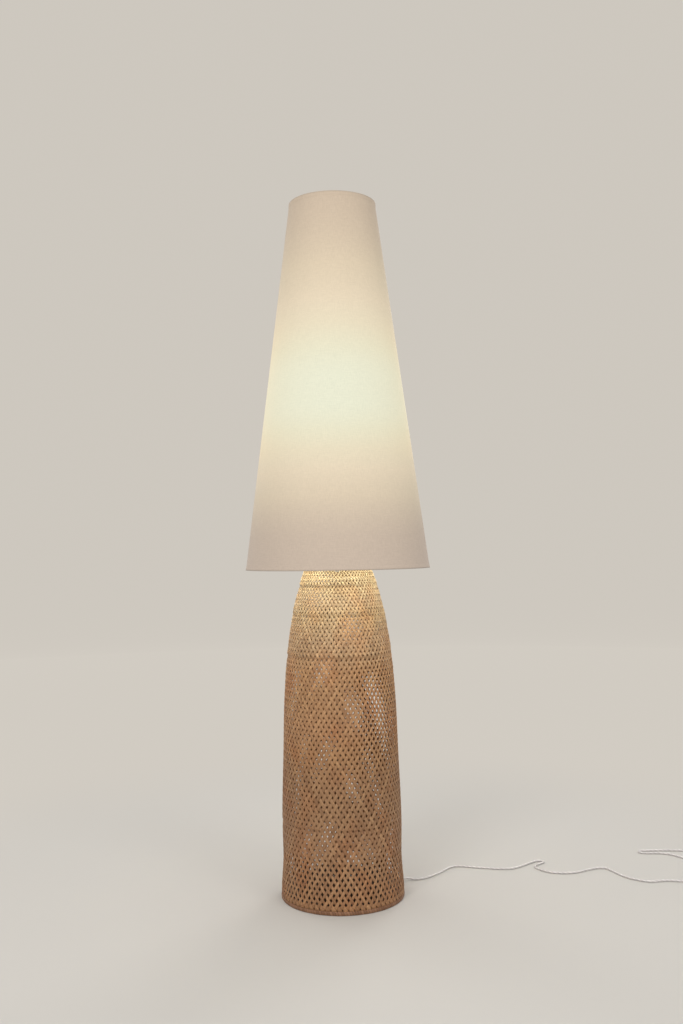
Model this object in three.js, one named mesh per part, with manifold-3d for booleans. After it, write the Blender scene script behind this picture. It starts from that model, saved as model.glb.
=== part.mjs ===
// Rattan floor lamp: a woven open base, a tall cone of linen and a mains cord with its switch and plug.
// Millimetres, +Z up, origin on the floor under the middle of the base. The photographed front faces -Y.
import * as THREE from "three";
import { mergeVertices } from "three/addons/utils/BufferGeometryUtils.js";
import Module from "manifold-3d";

const wasm = await Module();
wasm.setup();

// Clearances and shared values
const gap = 0.3; // between pieces that touch
const weld = 0.001; // vertices nearer than this are one
const cut = 5; // how far a cutter runs past the wall that it cuts
const hoopSlack = 0.5; // more room between the uneven weave and what fits inside it
const round = 16; // facets round the small turned pieces
const slim = 10; // facets round screws, pins and the gland
const fluteFacets = 6;
const hoopSides = 5; // of the section of a wire or a cane

// Woven base
const baseHeight = 700;
const footRadius = 127.5;
const bodyTaper = 8; // how much the radius shrinks evenly from foot to neck
const shoulderDrop = 47.5; // how much more it shrinks, most of it near the neck
const shoulderPower = 5.7;
const weaveThickness = 3.2;
const gapColumns = 17;
const fine = 2 * gapColumns; // facets round the weave, the pieces inside it and the shade
const rowAspect = 0.83; // height of a row over the width of a column
const footBand = 22; // close weave above the floor
const collarHeight = 34; // close weave below the rim
const openShare = 0.42; // of a cell, at the foot
const neckOpenShare = 0.24; // of a cell, at the collar
const footHoopHeight = 8;
const footHoopDepth = 3;
const footHoopRound = 1.2;

// Inner cane hoops, by the height of their middles
const hoopRadius = 3;
const lowerHoopHeight = 132;
const upperHoopDrop = 88; // below the top of the weave
const upperHoopHeight = baseHeight - upperHoopDrop;

// Foot plate, ballast and feet
const plateThickness = 5;
const plateHeight = 12; // underside above the floor
const ballastRadius = 95;
const ballastThickness = 18;
const ballastEdge = 3;
const rubberRadius = 11;
const rubberCircle = 92;
const rubberCount = 4;
const rubberStart = 45;
const plateBore = 7;

// Centre tube, its flange and the neck spider
const tubeRadius = 8;
const tubeWall = 1.2;
const tubeRise = 255; // of its top end above the weave
const tubeHeight = baseHeight + tubeRise;
const flangeRadius = 32;
const flangeThickness = 4;
const flangeBoss = 16;
const flangeBossRadius = 13;
const screwCount = 3;
const screwStart = 90;
const screwCircle = 23;
const screwRadius = 3;
const screwHeadRadius = 5.5;
const screwHeadHeight = 4;
const screwSocketRadius = 2.6;
const screwSocketDepth = 2.2;
const spiderDrop = 24; // underside of the spider's arms below the top of the weave
const spiderHeight = baseHeight - spiderDrop;
const spiderThickness = 3;
const spiderArmWidth = 12;
const spiderHubRadius = 17;
const spiderRimWidth = 6;
const collarRingRadius = 13;
const collarRingHeight = 9;
const armCount = 3;
const armStart = -90; // first arm towards the front

// Shade carrier
const seatHeight = baseHeight; // underside of the seat, level with the top of the weave
const seatThickness = 5;
const seatRadius = 13;
const carrierThickness = 3;
const carrierHubRadius = 24;
const carrierHubThickness = 6;
const carrierArmWidth = 10;
const carrierTipLength = 9;
const carrierClearance = 0.5; // between hub and tube
const carrierNutRadius = 14;
const carrierNutHeight = 10;
const nutFlutes = 12;
const nutFluteRadius = 1.2;

// Shade
const shadeBottom = baseHeight; // the shade hangs down to the top of the weave
const shadeHeight = 800;
const shadeBottomRadius = 200;
const shadeTopRadius = 95.5;
const fabricThickness = 0.8;
const linerThickness = 1.2;
const shadeWireRadius = 2;
const tapeThickness = 0.6;
const tapeHeight = 9;

// Lampholder
const bushLength = 12;
const bushFlange = 3;
const nippleRadius = 5;
const nippleBore = 3.6;
const nippleLength = 26;
const capNeckRadius = 9;
const capHeight = 20;
const capShoulderShare = 0.8;
const socketRadius = 20;
const socketWall = 2;
const socketHeight = 38;
const socketRibs = 3;
const socketRibDepth = 0.8;
const coreThickness = 7;
const shellRadius = 14.3;
const shellWall = 0.5;
const shellHeight = 24;
const shellLip = 0.8;
const contactRadius = 5;
const contactHeight = 2.6;

// Bulb
const bulbCapRadius = 13.2;
const bulbCapWall = 0.5;
const bulbCapHeight = 22;
const bulbInsulatorHeight = 3.6;
const bulbTipRadius = 4.8;
const bulbTipHeight = 1.6;
const bulbRadius = 30;
const bulbGlassHeight = 80; // from the cap's rim to the top of the glass
const bulbGlassWall = 1;
const bulbNeckRadius = 12;
const flankSteps = 4;
const crownSteps = 4;

// Cord and what is on it
const cordRadius = 2.2;
const cordSides = 8;
const cordFloorRoom = 0.2; // under the cord's smooth curves
const exitAngle = 30; // degrees from +X towards +Y
const exitHeight = 6;
const glandFlangeRadius = 5.5;
const glandFlange = 2;
const glandBarrelRadius = 3.8;
const glandTail = 24;
const glandInner = 8;
const glandTipRadius = 2.9;
const leadBend = 12; // radius of the lead's bend into the tube
const leadTop = 45; // where the bent lead meets the straight one inside the tube
const leadSteps = 12;
const runSteps = 42;
const farSteps = 28;
const plugSteps = 8;

// Inline switch, lying along the cord
const switchX = 798;
const switchY = 44;
const switchLength = 54;
const switchWidth = 22;
const switchHalfHeight = 8; // of each half shell
const switchCorner = 8;
const switchWall = 2;
const switchBevel = 1;
const rockerRadius = 6;
const rockerWidth = 9;
const rockerDrop = 1; // pivot below the top of the shell
const rockerTilt = 8; // degrees either side of level
const rockerSteps = 8;
const cornerSteps = 3;

// Coil of the spare cord, its tie and the plug beside it
const coilX = 838;
const coilY = 160;
const coilRadius = 24; // middle of its turns
const coilPitch = 4.95; // between turns beside or over each other
const coilTurns = 7.5;
const turnsPerLayer = 2;
const turnSteps = 22;
const coilSides = 6;
const climbTurns = 0.25; // before and after the end of a layer
const tieThickness = 0.8;
const tieWidth = 6;
const tieGap = 0.5;
const tieAngle = -45;
const tieTurnsShare = 0.625; // half width of the tied bundle, of a pitch
const plugX = 814; // back of the body
const plugY = 88;
const plugLength = 35;
const plugWidth = 34;
const plugStationShares = [0, 0.35, 0.62, 0.85, 1];
const plugHalfWidthShares = [0.42, 0.84, 1, 1, 0.8];
const plugThickness = 13;
const plugBevel = 1.5;
const plugReliefLength = 14;
const plugReliefRadius = 4.6;
const pinRadius = 2;
const pinLength = 19;
const pinSpacing = 19;

const degree = Math.PI / 180;
const wrap = 360 * degree;

// Materials
const paint = (colour, roughness, metalness = 0) =>
  new THREE.MeshStandardMaterial({ color: colour, roughness, metalness });
const rattan = paint(0xc9a06c, 0.75);
const rimCane = paint(0x9c5c38, 0.6);
const hoopCane = paint(0xa67a4c, 0.7);
const castIron = paint(0x2b2b2d, 0.7, 0.4);
const steel = paint(0x8e9092, 0.35, 1);
const blackPaint = paint(0x1d1d1f, 0.5, 0.3);
const bronzePaint = paint(0x7a6048, 0.5, 0.3);
const creamPaint = paint(0xe6dcc4, 0.5);
const brass = paint(0xb99553, 0.3, 1);
const rubber = paint(0x1a1a1a, 0.9);
const linen = paint(0xe6dcc8, 0.9);
const linerFilm = paint(0xf2eee4, 0.5);
const tape = paint(0xd9ccb4, 0.9);
const blackPlastic = paint(0x17181a, 0.4);
const ceramic = paint(0xe9e6df, 0.3);
const nickel = paint(0xc4c4c0, 0.3, 1);
const opalGlass = paint(0xfff4dc, 0.2);
const clearFlex = paint(0xcfcac2, 0.25);
const clearPlastic = paint(0xe4e1da, 0.25);

const lamp = new THREE.Group();

function add(name, geometry, material, parent = lamp) {
  const mesh = new THREE.Mesh(geometry, material);
  mesh.name = name;
  parent.add(mesh);
  return mesh;
}

// A closed geometry as a solid, and a solid as a geometry
function solidOf(geometry) {
  const bare = geometry.index ? geometry.toNonIndexed() : geometry.clone();
  bare.deleteAttribute("normal");
  bare.deleteAttribute("uv");
  const merged = mergeVertices(bare, weld);
  return new wasm.Manifold(
    new wasm.Mesh({
      numProp: 3,
      vertProperties: merged.attributes.position.array,
      triVerts: new Uint32Array(merged.index.array),
    }),
  );
}

function geometryOf(solid) {
  const mesh = solid.getMesh();
  const geometry = new THREE.BufferGeometry();
  geometry.setAttribute("position", new THREE.BufferAttribute(mesh.vertProperties, mesh.numProp));
  geometry.setIndex(new THREE.BufferAttribute(mesh.triVerts, 1));
  geometry.computeVertexNormals();
  return geometry;
}

const joined = (...geometries) =>
  geometryOf(geometries.map(solidOf).reduce((whole, piece) => whole.add(piece)));
const without = (geometry, ...cutters) =>
  geometryOf(cutters.map(solidOf).reduce((whole, cutter) => whole.subtract(cutter), solidOf(geometry)));

// A profile of [radius, height] turned about the Z axis. One that leaves the axis and comes back is solid;
// any other is closed on itself and makes a ring. It may be listed in either direction.
function turned(profile, segments = round) {
  const area = profile.reduce((sum, [r, z], i) => {
    const [r2, z2] = profile[(i + 1) % profile.length];
    return sum + r * z2 - r2 * z;
  }, 0);
  const points = (area > 0 ? profile : [...profile].reverse()).map(([r, z]) => new THREE.Vector2(r, z));
  const first = points[0];
  const last = points[points.length - 1];
  if (first.x > 0 || last.x > 0) points.push(first.clone());
  return new THREE.LatheGeometry(points, segments).rotateX(90 * degree);
}

const disc = (radius, low, high, segments = round) =>
  turned([[0, low], [radius, low], [radius, high], [0, high]], segments);
const sleeve = (inner, outer, low, high, segments = round) =>
  turned([[inner, low], [outer, low], [outer, high], [inner, high]], segments);

// A round bar bent into a horizontal ring
function hoop(middle, height, radius) {
  const section = Array.from({ length: hoopSides }, (_, i) => {
    const angle = (wrap * i) / hoopSides;
    return [middle + radius * Math.cos(angle), height + radius * Math.sin(angle)];
  });
  return turned(section, fine);
}

// A block by its corners
function block([x0, y0, z0], [x1, y1, z1]) {
  const geometry = new THREE.BoxGeometry(x1 - x0, y1 - y0, z1 - z0);
  return geometry.translate((x0 + x1) / 2, (y0 + y1) / 2, (z0 + z1) / 2);
}

const turnedBy = (geometry, angle) => geometry.clone().rotateZ(angle);
const aroundAxis = (geometry, count, start = 0) =>
  Array.from({ length: count }, (_, i) => turnedBy(geometry, start * degree + (wrap * i) / count));

// A tube of round section along a path
function tubeAlong(path, radius, sides, steps) {
  const section = Array.from({ length: sides }, (_, i) => {
    const angle = (wrap * (i + 0.5)) / sides;
    return new THREE.Vector2(radius * Math.cos(angle), radius * Math.sin(angle));
  });
  return new THREE.ExtrudeGeometry(new THREE.Shape(section), {
    steps,
    bevelEnabled: false,
    extrudePath: path,
  });
}

// Outside radius of the weave at a height: an even taper and a shoulder that draws in ever faster
const wallRadius = (z) => {
  const share = z / baseHeight;
  return footRadius - bodyTaper * share - shoulderDrop * share ** shoulderPower;
};
const flatsShare = Math.cos(wrap / (2 * fine)); // how much nearer the middle of a flat is than its corners
const footHoopOutside = (footRadius + gap) / flatsShare + footHoopDepth;
const innerWall = (z) => (wallRadius(z) - weaveThickness) * flatsShare;

// Heights of the rows of gaps. The rows get closer as the radius shrinks, so the strands keep their slope.
function rowHeights() {
  const low = footBand;
  const high = baseHeight - collarHeight;
  const column = wrap / gapColumns;
  const samples = 400;
  const step = (high - low) / samples;
  let total = 0;
  const path = [[0, low]];
  for (let i = 0; i < samples; i++) {
    total += step / (wallRadius(low + step * (i + 0.5)) * column * rowAspect);
    path.push([total, low + step * (i + 1)]);
  }
  const rows = Math.round(total - openShare - neckOpenShare);
  const spacing = total / (rows - 1 + openShare + neckOpenShare);
  return Array.from({ length: rows }, (_, j) => {
    const target = (j + openShare) * spacing;
    const [, height] = path.find(([along]) => along >= target);
    return height;
  });
}

// The woven body as one open lattice. Strands of both slopes cross between staggered diamond gaps.
// Per gap: a crossing and two lengths of strand on each face, and four walls through the thickness.
function wovenLattice() {
  const heights = rowHeights();
  const rows = heights.length;
  const column = wrap / gapColumns;
  const positions = [];
  const triangles = [];
  const vertex = (angle, z, inset, lip = 0) => {
    const r = wallRadius(z) - inset - lip;
    positions.push(r * Math.cos(angle), r * Math.sin(angle), z);
    return positions.length / 3 - 1;
  };
  const faces = { outer: 0, inner: weaveThickness };
  const skins = Object.entries(faces).map(([side, inset]) => {
    const gaps = heights.map((z, j) => {
      const share = openShare + ((neckOpenShare - openShare) * j) / (rows - 1);
      const across = (column / 2) * share;
      const below = j > 0 ? z - heights[j - 1] : heights[1] - z;
      const above = j < rows - 1 ? heights[j + 1] - z : below;
      return Array.from({ length: gapColumns }, (_, i) => {
        const angle = (i + (j % 2) / 2) * column;
        return {
          left: vertex(angle - across, z, inset),
          right: vertex(angle + across, z, inset),
          bottom: vertex(angle, z - below * share, inset),
          top: vertex(angle, z + above * share, inset),
        };
      });
    });
    const ring = (z, lip) =>
      Array.from({ length: 2 * gapColumns }, (_, k) => vertex((k * column) / 2, z, inset, lip));
    const rimShares = [0.45, 0.85, 1];
    const lipShares = [0, 0, 0.3];
    const lipSign = side === "outer" ? 1 : -1;
    const rims = rimShares.map((share, n) =>
      ring(baseHeight - collarHeight * (1 - share), lipSign * lipShares[n] * weaveThickness));
    return { side, gaps, foot: ring(0, 0), rims };
  });
  const at = (list, k) => list[((k % list.length) + list.length) % list.length];
  for (const { side, gaps, foot, rims } of skins) {
    const face = (a, b, c) => triangles.push(...(side === "outer" ? [a, b, c] : [a, c, b]));
    const quad = (a, b, c, d) => {
      face(a, b, c);
      face(a, c, d);
    };
    gaps.forEach((row, j) =>
      row.forEach((here, i) => {
        const next = at(row, i + 1);
        const shift = j % 2;
        const above = j < rows - 1 ? gaps[j + 1] : null;
        const below = j > 0 ? gaps[j - 1] : null;
        if (above) {
          const upRight = at(above, i + shift);
          const upLeft = at(above, i + shift - 1);
          quad(here.right, upRight.bottom, upRight.left, here.top);
          quad(here.left, here.top, upLeft.right, upLeft.bottom);
        }
        if (above && below) {
          quad(here.right, at(below, i + shift).top, next.left, at(above, i + shift).bottom);
        }
      }),
    );
    gaps[0].forEach((here, i) => {
      const next = at(gaps[0], i + 1);
      const peak = at(gaps[1], i).bottom;
      const [a, b, c] = [at(foot, 2 * i), at(foot, 2 * i + 1), at(foot, 2 * i + 2)];
      face(a, b, here.bottom);
      face(here.bottom, b, here.right);
      face(b, peak, here.right);
      face(b, next.left, peak);
      face(b, next.bottom, next.left);
      face(b, c, next.bottom);
    });
    const top = gaps[rows - 1];
    const shift = (rows - 1) % 2;
    top.forEach((here, i) => {
      const next = at(top, i + 1);
      const dip = at(gaps[rows - 2], i + shift).top;
      const first = 2 * i + shift;
      const [a, b, c] = [at(rims[0], first), at(rims[0], first + 1), at(rims[0], first + 2)];
      face(a, here.top, b);
      face(here.top, here.right, b);
      face(b, here.right, dip);
      face(b, dip, next.left);
      face(b, next.left, next.top);
      face(b, next.top, c);
    });
    rims.slice(1).forEach((ring, n) =>
      ring.forEach((v, k) => quad(rims[n][k], at(rims[n], k + 1), at(ring, k + 1), v)));
  }
  const [outer, inner] = skins;
  outer.gaps.forEach((row, j) =>
    row.forEach((o, i) => {
      const n = inner.gaps[j][i];
      const corners = ["right", "top", "left", "bottom"];
      corners.forEach((corner, k) => {
        const following = corners[(k + 1) % corners.length];
        triangles.push(o[corner], o[following], n[following]);
        triangles.push(o[corner], n[following], n[corner]);
      });
    }),
  );
  const band = (from, to) =>
    from.forEach((v, k) => {
      triangles.push(v, at(from, k + 1), at(to, k + 1));
      triangles.push(v, at(to, k + 1), to[k]);
    });
  band(inner.foot, outer.foot);
  band(outer.rims[outer.rims.length - 1], inner.rims[inner.rims.length - 1]);
  const geometry = new THREE.BufferGeometry();
  geometry.setAttribute("position", new THREE.Float32BufferAttribute(positions, 3));
  geometry.setIndex(triangles);
  return geometry;
}

// A cylinder lying along +X turned to an angle, for the cord's way out
const outward = (radius, from, to, height, angle) =>
  disc(radius, from, to, cordSides).rotateY(90 * degree).rotateZ(angle).translate(0, 0, height);

// Woven base: the lattice, the strip round its foot and the cane hoops inside it
function makeWovenBase() {
  const wallInside = footRadius - weaveThickness;
  const inside = (footRadius + gap) / flatsShare;
  const outside = footHoopOutside;
  const holeRadius = glandBarrelRadius + gap;
  const hole = outward(holeRadius, wallInside - cut, outside + cut, exitHeight, exitAngle * degree);
  add("woven_body", without(wovenLattice(), hole), rattan);
  const profile = [
    [inside, 0],
    [outside - footHoopRound, 0],
    [outside, footHoopRound],
    [outside, footHoopHeight - footHoopRound],
    [outside - footHoopRound, footHoopHeight],
    [inside, footHoopHeight],
  ];
  add("foot_hoop", without(turned(profile, fine), hole), rimCane);
  const hoops = {
    lower_hoop: lowerHoopHeight,
    upper_hoop: upperHoopHeight,
  };
  for (const [name, height] of Object.entries(hoops)) {
    const lean = (innerWall(height) - innerWall(height + hoopRadius)) / hoopRadius;
    const middle = innerWall(height) - (hoopRadius + hoopSlack) * Math.hypot(1, lean);
    add(name, hoop(middle, height, hoopRadius), hoopCane);
  }
}

// Foot plate on rubber feet, ballast, and the flange that holds the tube upright
function makeFoot() {
  const plateTop = plateHeight + plateThickness;
  const ballastLow = plateTop + gap;
  const ballastTop = ballastLow + ballastThickness;
  const flangeLow = ballastTop + gap;
  const flangeTop = flangeLow + flangeThickness;
  const screwHoles = (low, high) =>
    aroundAxis(disc(screwRadius + gap, low, high, slim).translate(screwCircle, 0, 0), screwCount, screwStart);
  const plate = sleeve(plateBore, innerWall(plateTop) - gap, plateHeight, plateTop, fine);
  add("foot_plate", without(plate, ...screwHoles(plateHeight - cut, plateTop + cut)), blackPaint);
  const ballast = turned([
    [plateBore, ballastLow],
    [ballastRadius, ballastLow],
    [ballastRadius, ballastTop - ballastEdge],
    [ballastRadius - ballastEdge, ballastTop],
    [plateBore, ballastTop],
  ], fine);
  add("ballast_disc", without(ballast, ...screwHoles(ballastLow - cut, ballastTop + cut)), castIron);
  const flange = turned([
    [tubeRadius + gap, flangeLow],
    [flangeRadius, flangeLow],
    [flangeRadius, flangeTop],
    [flangeBossRadius, flangeTop],
    [flangeBossRadius, flangeTop + flangeBoss],
    [tubeRadius + gap, flangeTop + flangeBoss],
  ]);
  add("tube_flange", without(flange, ...screwHoles(flangeLow - cut, flangeTop + cut)), blackPaint);
  const headLow = flangeTop + gap;
  const headTop = headLow + screwHeadHeight;
  const screw = turned([
    [0, plateHeight],
    [screwRadius, plateHeight],
    [screwRadius, headLow],
    [screwHeadRadius, headLow],
    [screwHeadRadius, headLow + screwHeadHeight / 2],
    [screwSocketRadius, headTop],
    [screwSocketRadius, headTop - screwSocketDepth],
    [0, headTop - screwSocketDepth],
  ], slim).translate(screwCircle, 0, 0);
  aroundAxis(screw, screwCount, screwStart).forEach((piece, i) => add(`flange_screw_${i + 1}`, piece, steel));
  const foot = disc(rubberRadius, 0, plateHeight - gap).translate(rubberCircle, 0, 0);
  aroundAxis(foot, rubberCount, rubberStart).forEach((piece, i) => {
    add(`rubber_foot_${i + 1}`, piece, rubber);
  });
}

// Centre tube and the three-arm spider that holds the neck
function makeTube() {
  const tubeFoot = plateHeight + plateThickness + ballastThickness + 2 * gap;
  const tube = sleeve(tubeRadius - tubeWall, tubeRadius, tubeFoot, tubeHeight);
  add("centre_tube", tube, bronzePaint);
  const ringTop = spiderHeight - gap;
  const ring = sleeve(tubeRadius + gap, collarRingRadius, ringTop - collarRingHeight, ringTop);
  add("spider_collar", ring, steel);
  const spiderTop = spiderHeight + spiderThickness;
  const rimOutside = innerWall(spiderTop) - hoopSlack;
  const rimInside = rimOutside - spiderRimWidth;
  const arm = block(
    [spiderHubRadius - spiderRimWidth / 2, -spiderArmWidth / 2, spiderHeight],
    [rimInside + spiderRimWidth / 2, spiderArmWidth / 2, spiderTop],
  );
  const spider = joined(
    sleeve(tubeRadius + gap, spiderHubRadius, spiderHeight, spiderTop),
    sleeve(rimInside, rimOutside, spiderHeight, spiderTop, fine),
    ...aroundAxis(arm, armCount, armStart),
  );
  add("neck_spider", spider, creamPaint);
}

// Shade: a cone of linen on a film liner, wire rings at both ends and folded tape over its edges
const coneRadius = (z) =>
  shadeBottomRadius + ((shadeTopRadius - shadeBottomRadius) * (z - shadeBottom)) / shadeHeight;
const shadeTop = shadeBottom + shadeHeight;
const fabricInset = tapeThickness + gap;
const linerInset = fabricInset + fabricThickness + gap;
const wireInset = linerInset + linerThickness + gap + shadeWireRadius;
const tapeInset = wireInset + shadeWireRadius + gap;

function coneSleeve(inset, thickness) {
  const low = shadeBottom + fabricInset;
  const high = shadeTop - fabricInset;
  return turned([
    [coneRadius(low) - inset - thickness, low],
    [coneRadius(low) - inset, low],
    [coneRadius(high) - inset, high],
    [coneRadius(high) - inset - thickness, high],
  ], fine);
}

// Edge tape: a channel over the edge of the cone, its legs following the slope. up is +1 at the bottom edge
function edgeTape(edge, up) {
  const point = (inset, height) => {
    const z = edge + up * height;
    return [coneRadius(z) - inset, z];
  };
  return turned([
    point(0, 0),
    point(0, tapeHeight),
    point(tapeThickness, tapeHeight),
    point(tapeThickness, tapeThickness),
    point(tapeInset, tapeThickness),
    point(tapeInset, tapeHeight),
    point(tapeInset + tapeThickness, tapeHeight),
    point(tapeInset + tapeThickness, 0),
  ], fine);
}

function makeShade(parent) {
  add("shade_fabric", coneSleeve(fabricInset, fabricThickness), linen, parent);
  add("shade_liner", coneSleeve(linerInset, linerThickness), linerFilm, parent);
  const wireHeight = fabricInset + shadeWireRadius;
  const wireAt = (height) => hoop(coneRadius(height + shadeWireRadius) - wireInset, height, shadeWireRadius);
  add("shade_bottom_ring", wireAt(shadeBottom + wireHeight), steel, parent);
  add("shade_top_ring", wireAt(shadeTop - wireHeight), steel, parent);
  add("bottom_edge_tape", edgeTape(shadeBottom, 1), tape, parent);
  add("top_edge_tape", edgeTape(shadeTop, -1), tape, parent);
}

// Shade carrier: a hub that turns on a seat round the tube, with three arms whose stepped tips bear the shade
function makeCarrier(parent) {
  add("carrier_seat", sleeve(tubeRadius + gap, seatRadius, seatHeight, seatHeight + seatThickness), steel);
  const low = seatHeight + seatThickness + gap;
  const armTop = low + carrierThickness;
  const hubTop = low + carrierHubThickness;
  const tipTop = shadeBottom - gap;
  const stepOutside = (coneRadius(shadeBottom + tapeHeight) - tapeInset - tapeThickness) * flatsShare - gap;
  const tip = stepOutside + carrierTipLength;
  const armInside = carrierHubRadius - 2 * carrierThickness;
  const outline = [
    [armInside, low],
    [stepOutside - carrierThickness, low],
    [stepOutside - carrierThickness, tipTop - carrierThickness],
    [tip, tipTop - carrierThickness],
    [tip, tipTop],
    [stepOutside, tipTop],
    [stepOutside, armTop],
    [armInside, armTop],
  ];
  const shape = new THREE.Shape(outline.map(([r, z]) => new THREE.Vector2(r, z)));
  const arm = new THREE.ExtrudeGeometry(shape, { depth: carrierArmWidth, bevelEnabled: false });
  arm.rotateX(90 * degree).translate(0, carrierArmWidth / 2, 0);
  const hub = turned([
    [tubeRadius + carrierClearance, low],
    [carrierHubRadius, low],
    [carrierHubRadius, armTop],
    [carrierHubRadius - carrierThickness, hubTop],
    [tubeRadius + carrierClearance, hubTop],
  ]);
  add("shade_carrier", joined(hub, ...aroundAxis(arm, armCount, armStart)), creamPaint, parent);
  const nutLow = hubTop + gap;
  const nut = sleeve(tubeRadius + gap, carrierNutRadius, nutLow, nutLow + carrierNutHeight);
  const flute = disc(nutFluteRadius, nutLow - cut, nutLow + carrierNutHeight + cut, fluteFacets);
  const flutes = aroundAxis(flute.translate(carrierNutRadius, 0, 0), nutFlutes);
  add("carrier_nut", without(nut, ...flutes), steel);
}

// Lampholder, stacked on the top of the tube. Gives the height of the contact's top
function makeLampholder() {
  const bushTop = tubeHeight + gap + bushFlange;
  const bore = tubeRadius - tubeWall - gap;
  const bushFoot = tubeHeight - bushLength;
  add("tube_bush", turned([
    [nippleRadius + gap, bushFoot],
    [bore, bushFoot],
    [bore, tubeHeight + gap],
    [tubeRadius, tubeHeight + gap],
    [tubeRadius, bushTop],
    [nippleRadius + gap, bushTop],
  ]), brass);
  add("nipple", sleeve(nippleBore, nippleRadius, bushFoot, bushFoot + nippleLength), steel);
  const capLow = bushTop + gap;
  const capTop = capLow + capHeight;
  const shoulder = socketRadius * capShoulderShare;
  const waist = capLow + capHeight / 2;
  const brim = capLow + capHeight * capShoulderShare;
  add("socket_cap", turned([
    [nippleRadius + gap, capLow],
    [capNeckRadius, capLow],
    [capNeckRadius, capLow + capHeight / 4],
    [shoulder, waist],
    [socketRadius, brim],
    [socketRadius, capTop],
    [socketRadius - socketWall, capTop],
    [socketRadius - socketWall, brim + socketWall / 2],
    [shoulder - socketWall, waist + socketWall],
    [nippleRadius + gap, waist],
  ]), blackPlastic);
  const bodyLow = capTop + gap;
  const bodyTop = bodyLow + socketHeight;
  const ribPitch = socketHeight / (2 * socketRibs + 1);
  const ribs = Array.from({ length: socketRibs }, (_, i) => {
    const low = bodyLow + ribPitch * (2 * i + 1);
    return [
      [socketRadius, low],
      [socketRadius + socketRibDepth, low + ribPitch / 4],
      [socketRadius + socketRibDepth, low + (ribPitch * 3) / 4],
      [socketRadius, low + ribPitch],
    ];
  }).flat();
  add("socket_body", turned([
    [socketRadius - socketWall, bodyLow],
    [socketRadius, bodyLow],
    ...ribs,
    [socketRadius, bodyTop],
    [socketRadius - socketWall, bodyTop],
  ]), blackPlastic);
  const coreTop = bodyLow + coreThickness;
  add("socket_core", disc(socketRadius - socketWall - gap, bodyLow, coreTop), ceramic);
  const shellLow = coreTop + gap;
  const shellTop = shellLow + shellHeight;
  add("screw_shell", turned([
    [shellRadius, shellLow],
    [shellRadius + shellWall, shellLow],
    [shellRadius + shellWall, shellTop - shellLip],
    [shellRadius + shellWall + shellLip, shellTop],
    [shellRadius + shellLip, shellTop],
    [shellRadius, shellTop - shellLip],
  ]), brass);
  const contactTop = shellLow + contactHeight;
  add("centre_contact", turned([
    [0, shellLow],
    [contactRadius, shellLow],
    [contactRadius / 2, contactTop],
    [0, contactTop],
  ]), brass);
  return { contactTop, coreLow: bodyLow };
}

// Bulb, from the tip on the contact up to the glass
function makeBulb(parent, contactTop) {
  const tipLow = contactTop + gap;
  const tipTop = tipLow + bulbTipHeight;
  add("bulb_tip", turned([
    [0, tipLow],
    [bulbTipRadius / 2, tipLow],
    [bulbTipRadius, tipTop],
    [0, tipTop],
  ]), nickel, parent);
  const insulatorLow = tipTop + gap;
  const insulatorTop = insulatorLow + bulbInsulatorHeight;
  add("bulb_insulator", turned([
    [0, insulatorLow],
    [bulbTipRadius, insulatorLow],
    [bulbCapRadius - 2 * bulbCapWall, insulatorTop],
    [0, insulatorTop],
  ]), blackPlastic, parent);
  const capLow = insulatorTop + gap;
  const capHigh = capLow + bulbCapHeight;
  add("bulb_cap", sleeve(bulbCapRadius - bulbCapWall, bulbCapRadius, capLow, capHigh), nickel, parent);
  const glassLow = capHigh + gap;
  const rise = bulbGlassHeight - bulbRadius;
  const flank = Array.from({ length: flankSteps }, (_, i) => {
    const share = i / flankSteps;
    return [share, (1 - Math.cos((share * wrap) / 2)) / 2];
  });
  const crown = Array.from({ length: crownSteps + 1 }, (_, i) => {
    const angle = (i * wrap) / (4 * crownSteps);
    return [i < crownSteps ? Math.cos(angle) : 0, Math.sin(angle)];
  });
  const skin = (inset) => [
    ...flank.map(([share, swell]) => [
      bulbNeckRadius + (bulbRadius - bulbNeckRadius) * swell - inset,
      glassLow + rise * share,
    ]),
    ...crown.map(([across, up]) => [
      (bulbRadius - inset) * across,
      glassLow + rise + (bulbRadius - inset) * up,
    ]),
  ];
  add("bulb_glass", turned([...skin(0), ...skin(bulbGlassWall).reverse()]), opalGlass, parent);
}

// Cord gland through the foot of the weave: a barrel, a flange and a tapered tail
const exitTurn = exitAngle * degree;
const glandStart = footRadius - weaveThickness - glandInner;
const glandFace = footHoopOutside + gap;
const glandEnd = glandFace + glandFlange + glandTail;

function makeGland() {
  const gland = turned([
    [0, glandStart],
    [glandBarrelRadius, glandStart],
    [glandBarrelRadius, glandFace],
    [glandFlangeRadius, glandFace],
    [glandFlangeRadius, glandFace + glandFlange],
    [glandBarrelRadius, glandFace + glandFlange],
    [glandTipRadius, glandEnd],
    [0, glandEnd],
  ], slim);
  gland.rotateY(90 * degree).rotateZ(exitTurn).translate(0, 0, exitHeight);
  add("cord_gland", gland, clearPlastic);
}

// Lead inside the lamp: from the gland under the plate, round a bend and up the tube to the lampholder
function makeInnerLead(coreLow) {
  const point = (radius, height) =>
    new THREE.Vector3(radius * Math.cos(exitTurn), radius * Math.sin(exitTurn), height);
  const path = new THREE.CurvePath();
  const corner = point(0, exitHeight);
  const bendStart = point(leadBend, exitHeight);
  const bendEnd = point(0, exitHeight + leadBend);
  path.add(new THREE.LineCurve3(point(glandStart - gap, exitHeight), bendStart));
  path.add(new THREE.QuadraticBezierCurve3(bendStart, corner, bendEnd));
  path.add(new THREE.LineCurve3(bendEnd, point(0, leadTop)));
  add("inner_lead", tubeAlong(path, cordRadius, cordSides, leadSteps), clearFlex);
  add("tube_lead", disc(cordRadius, leadTop + gap, coreLow - gap, cordSides), clearFlex);
}

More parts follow.
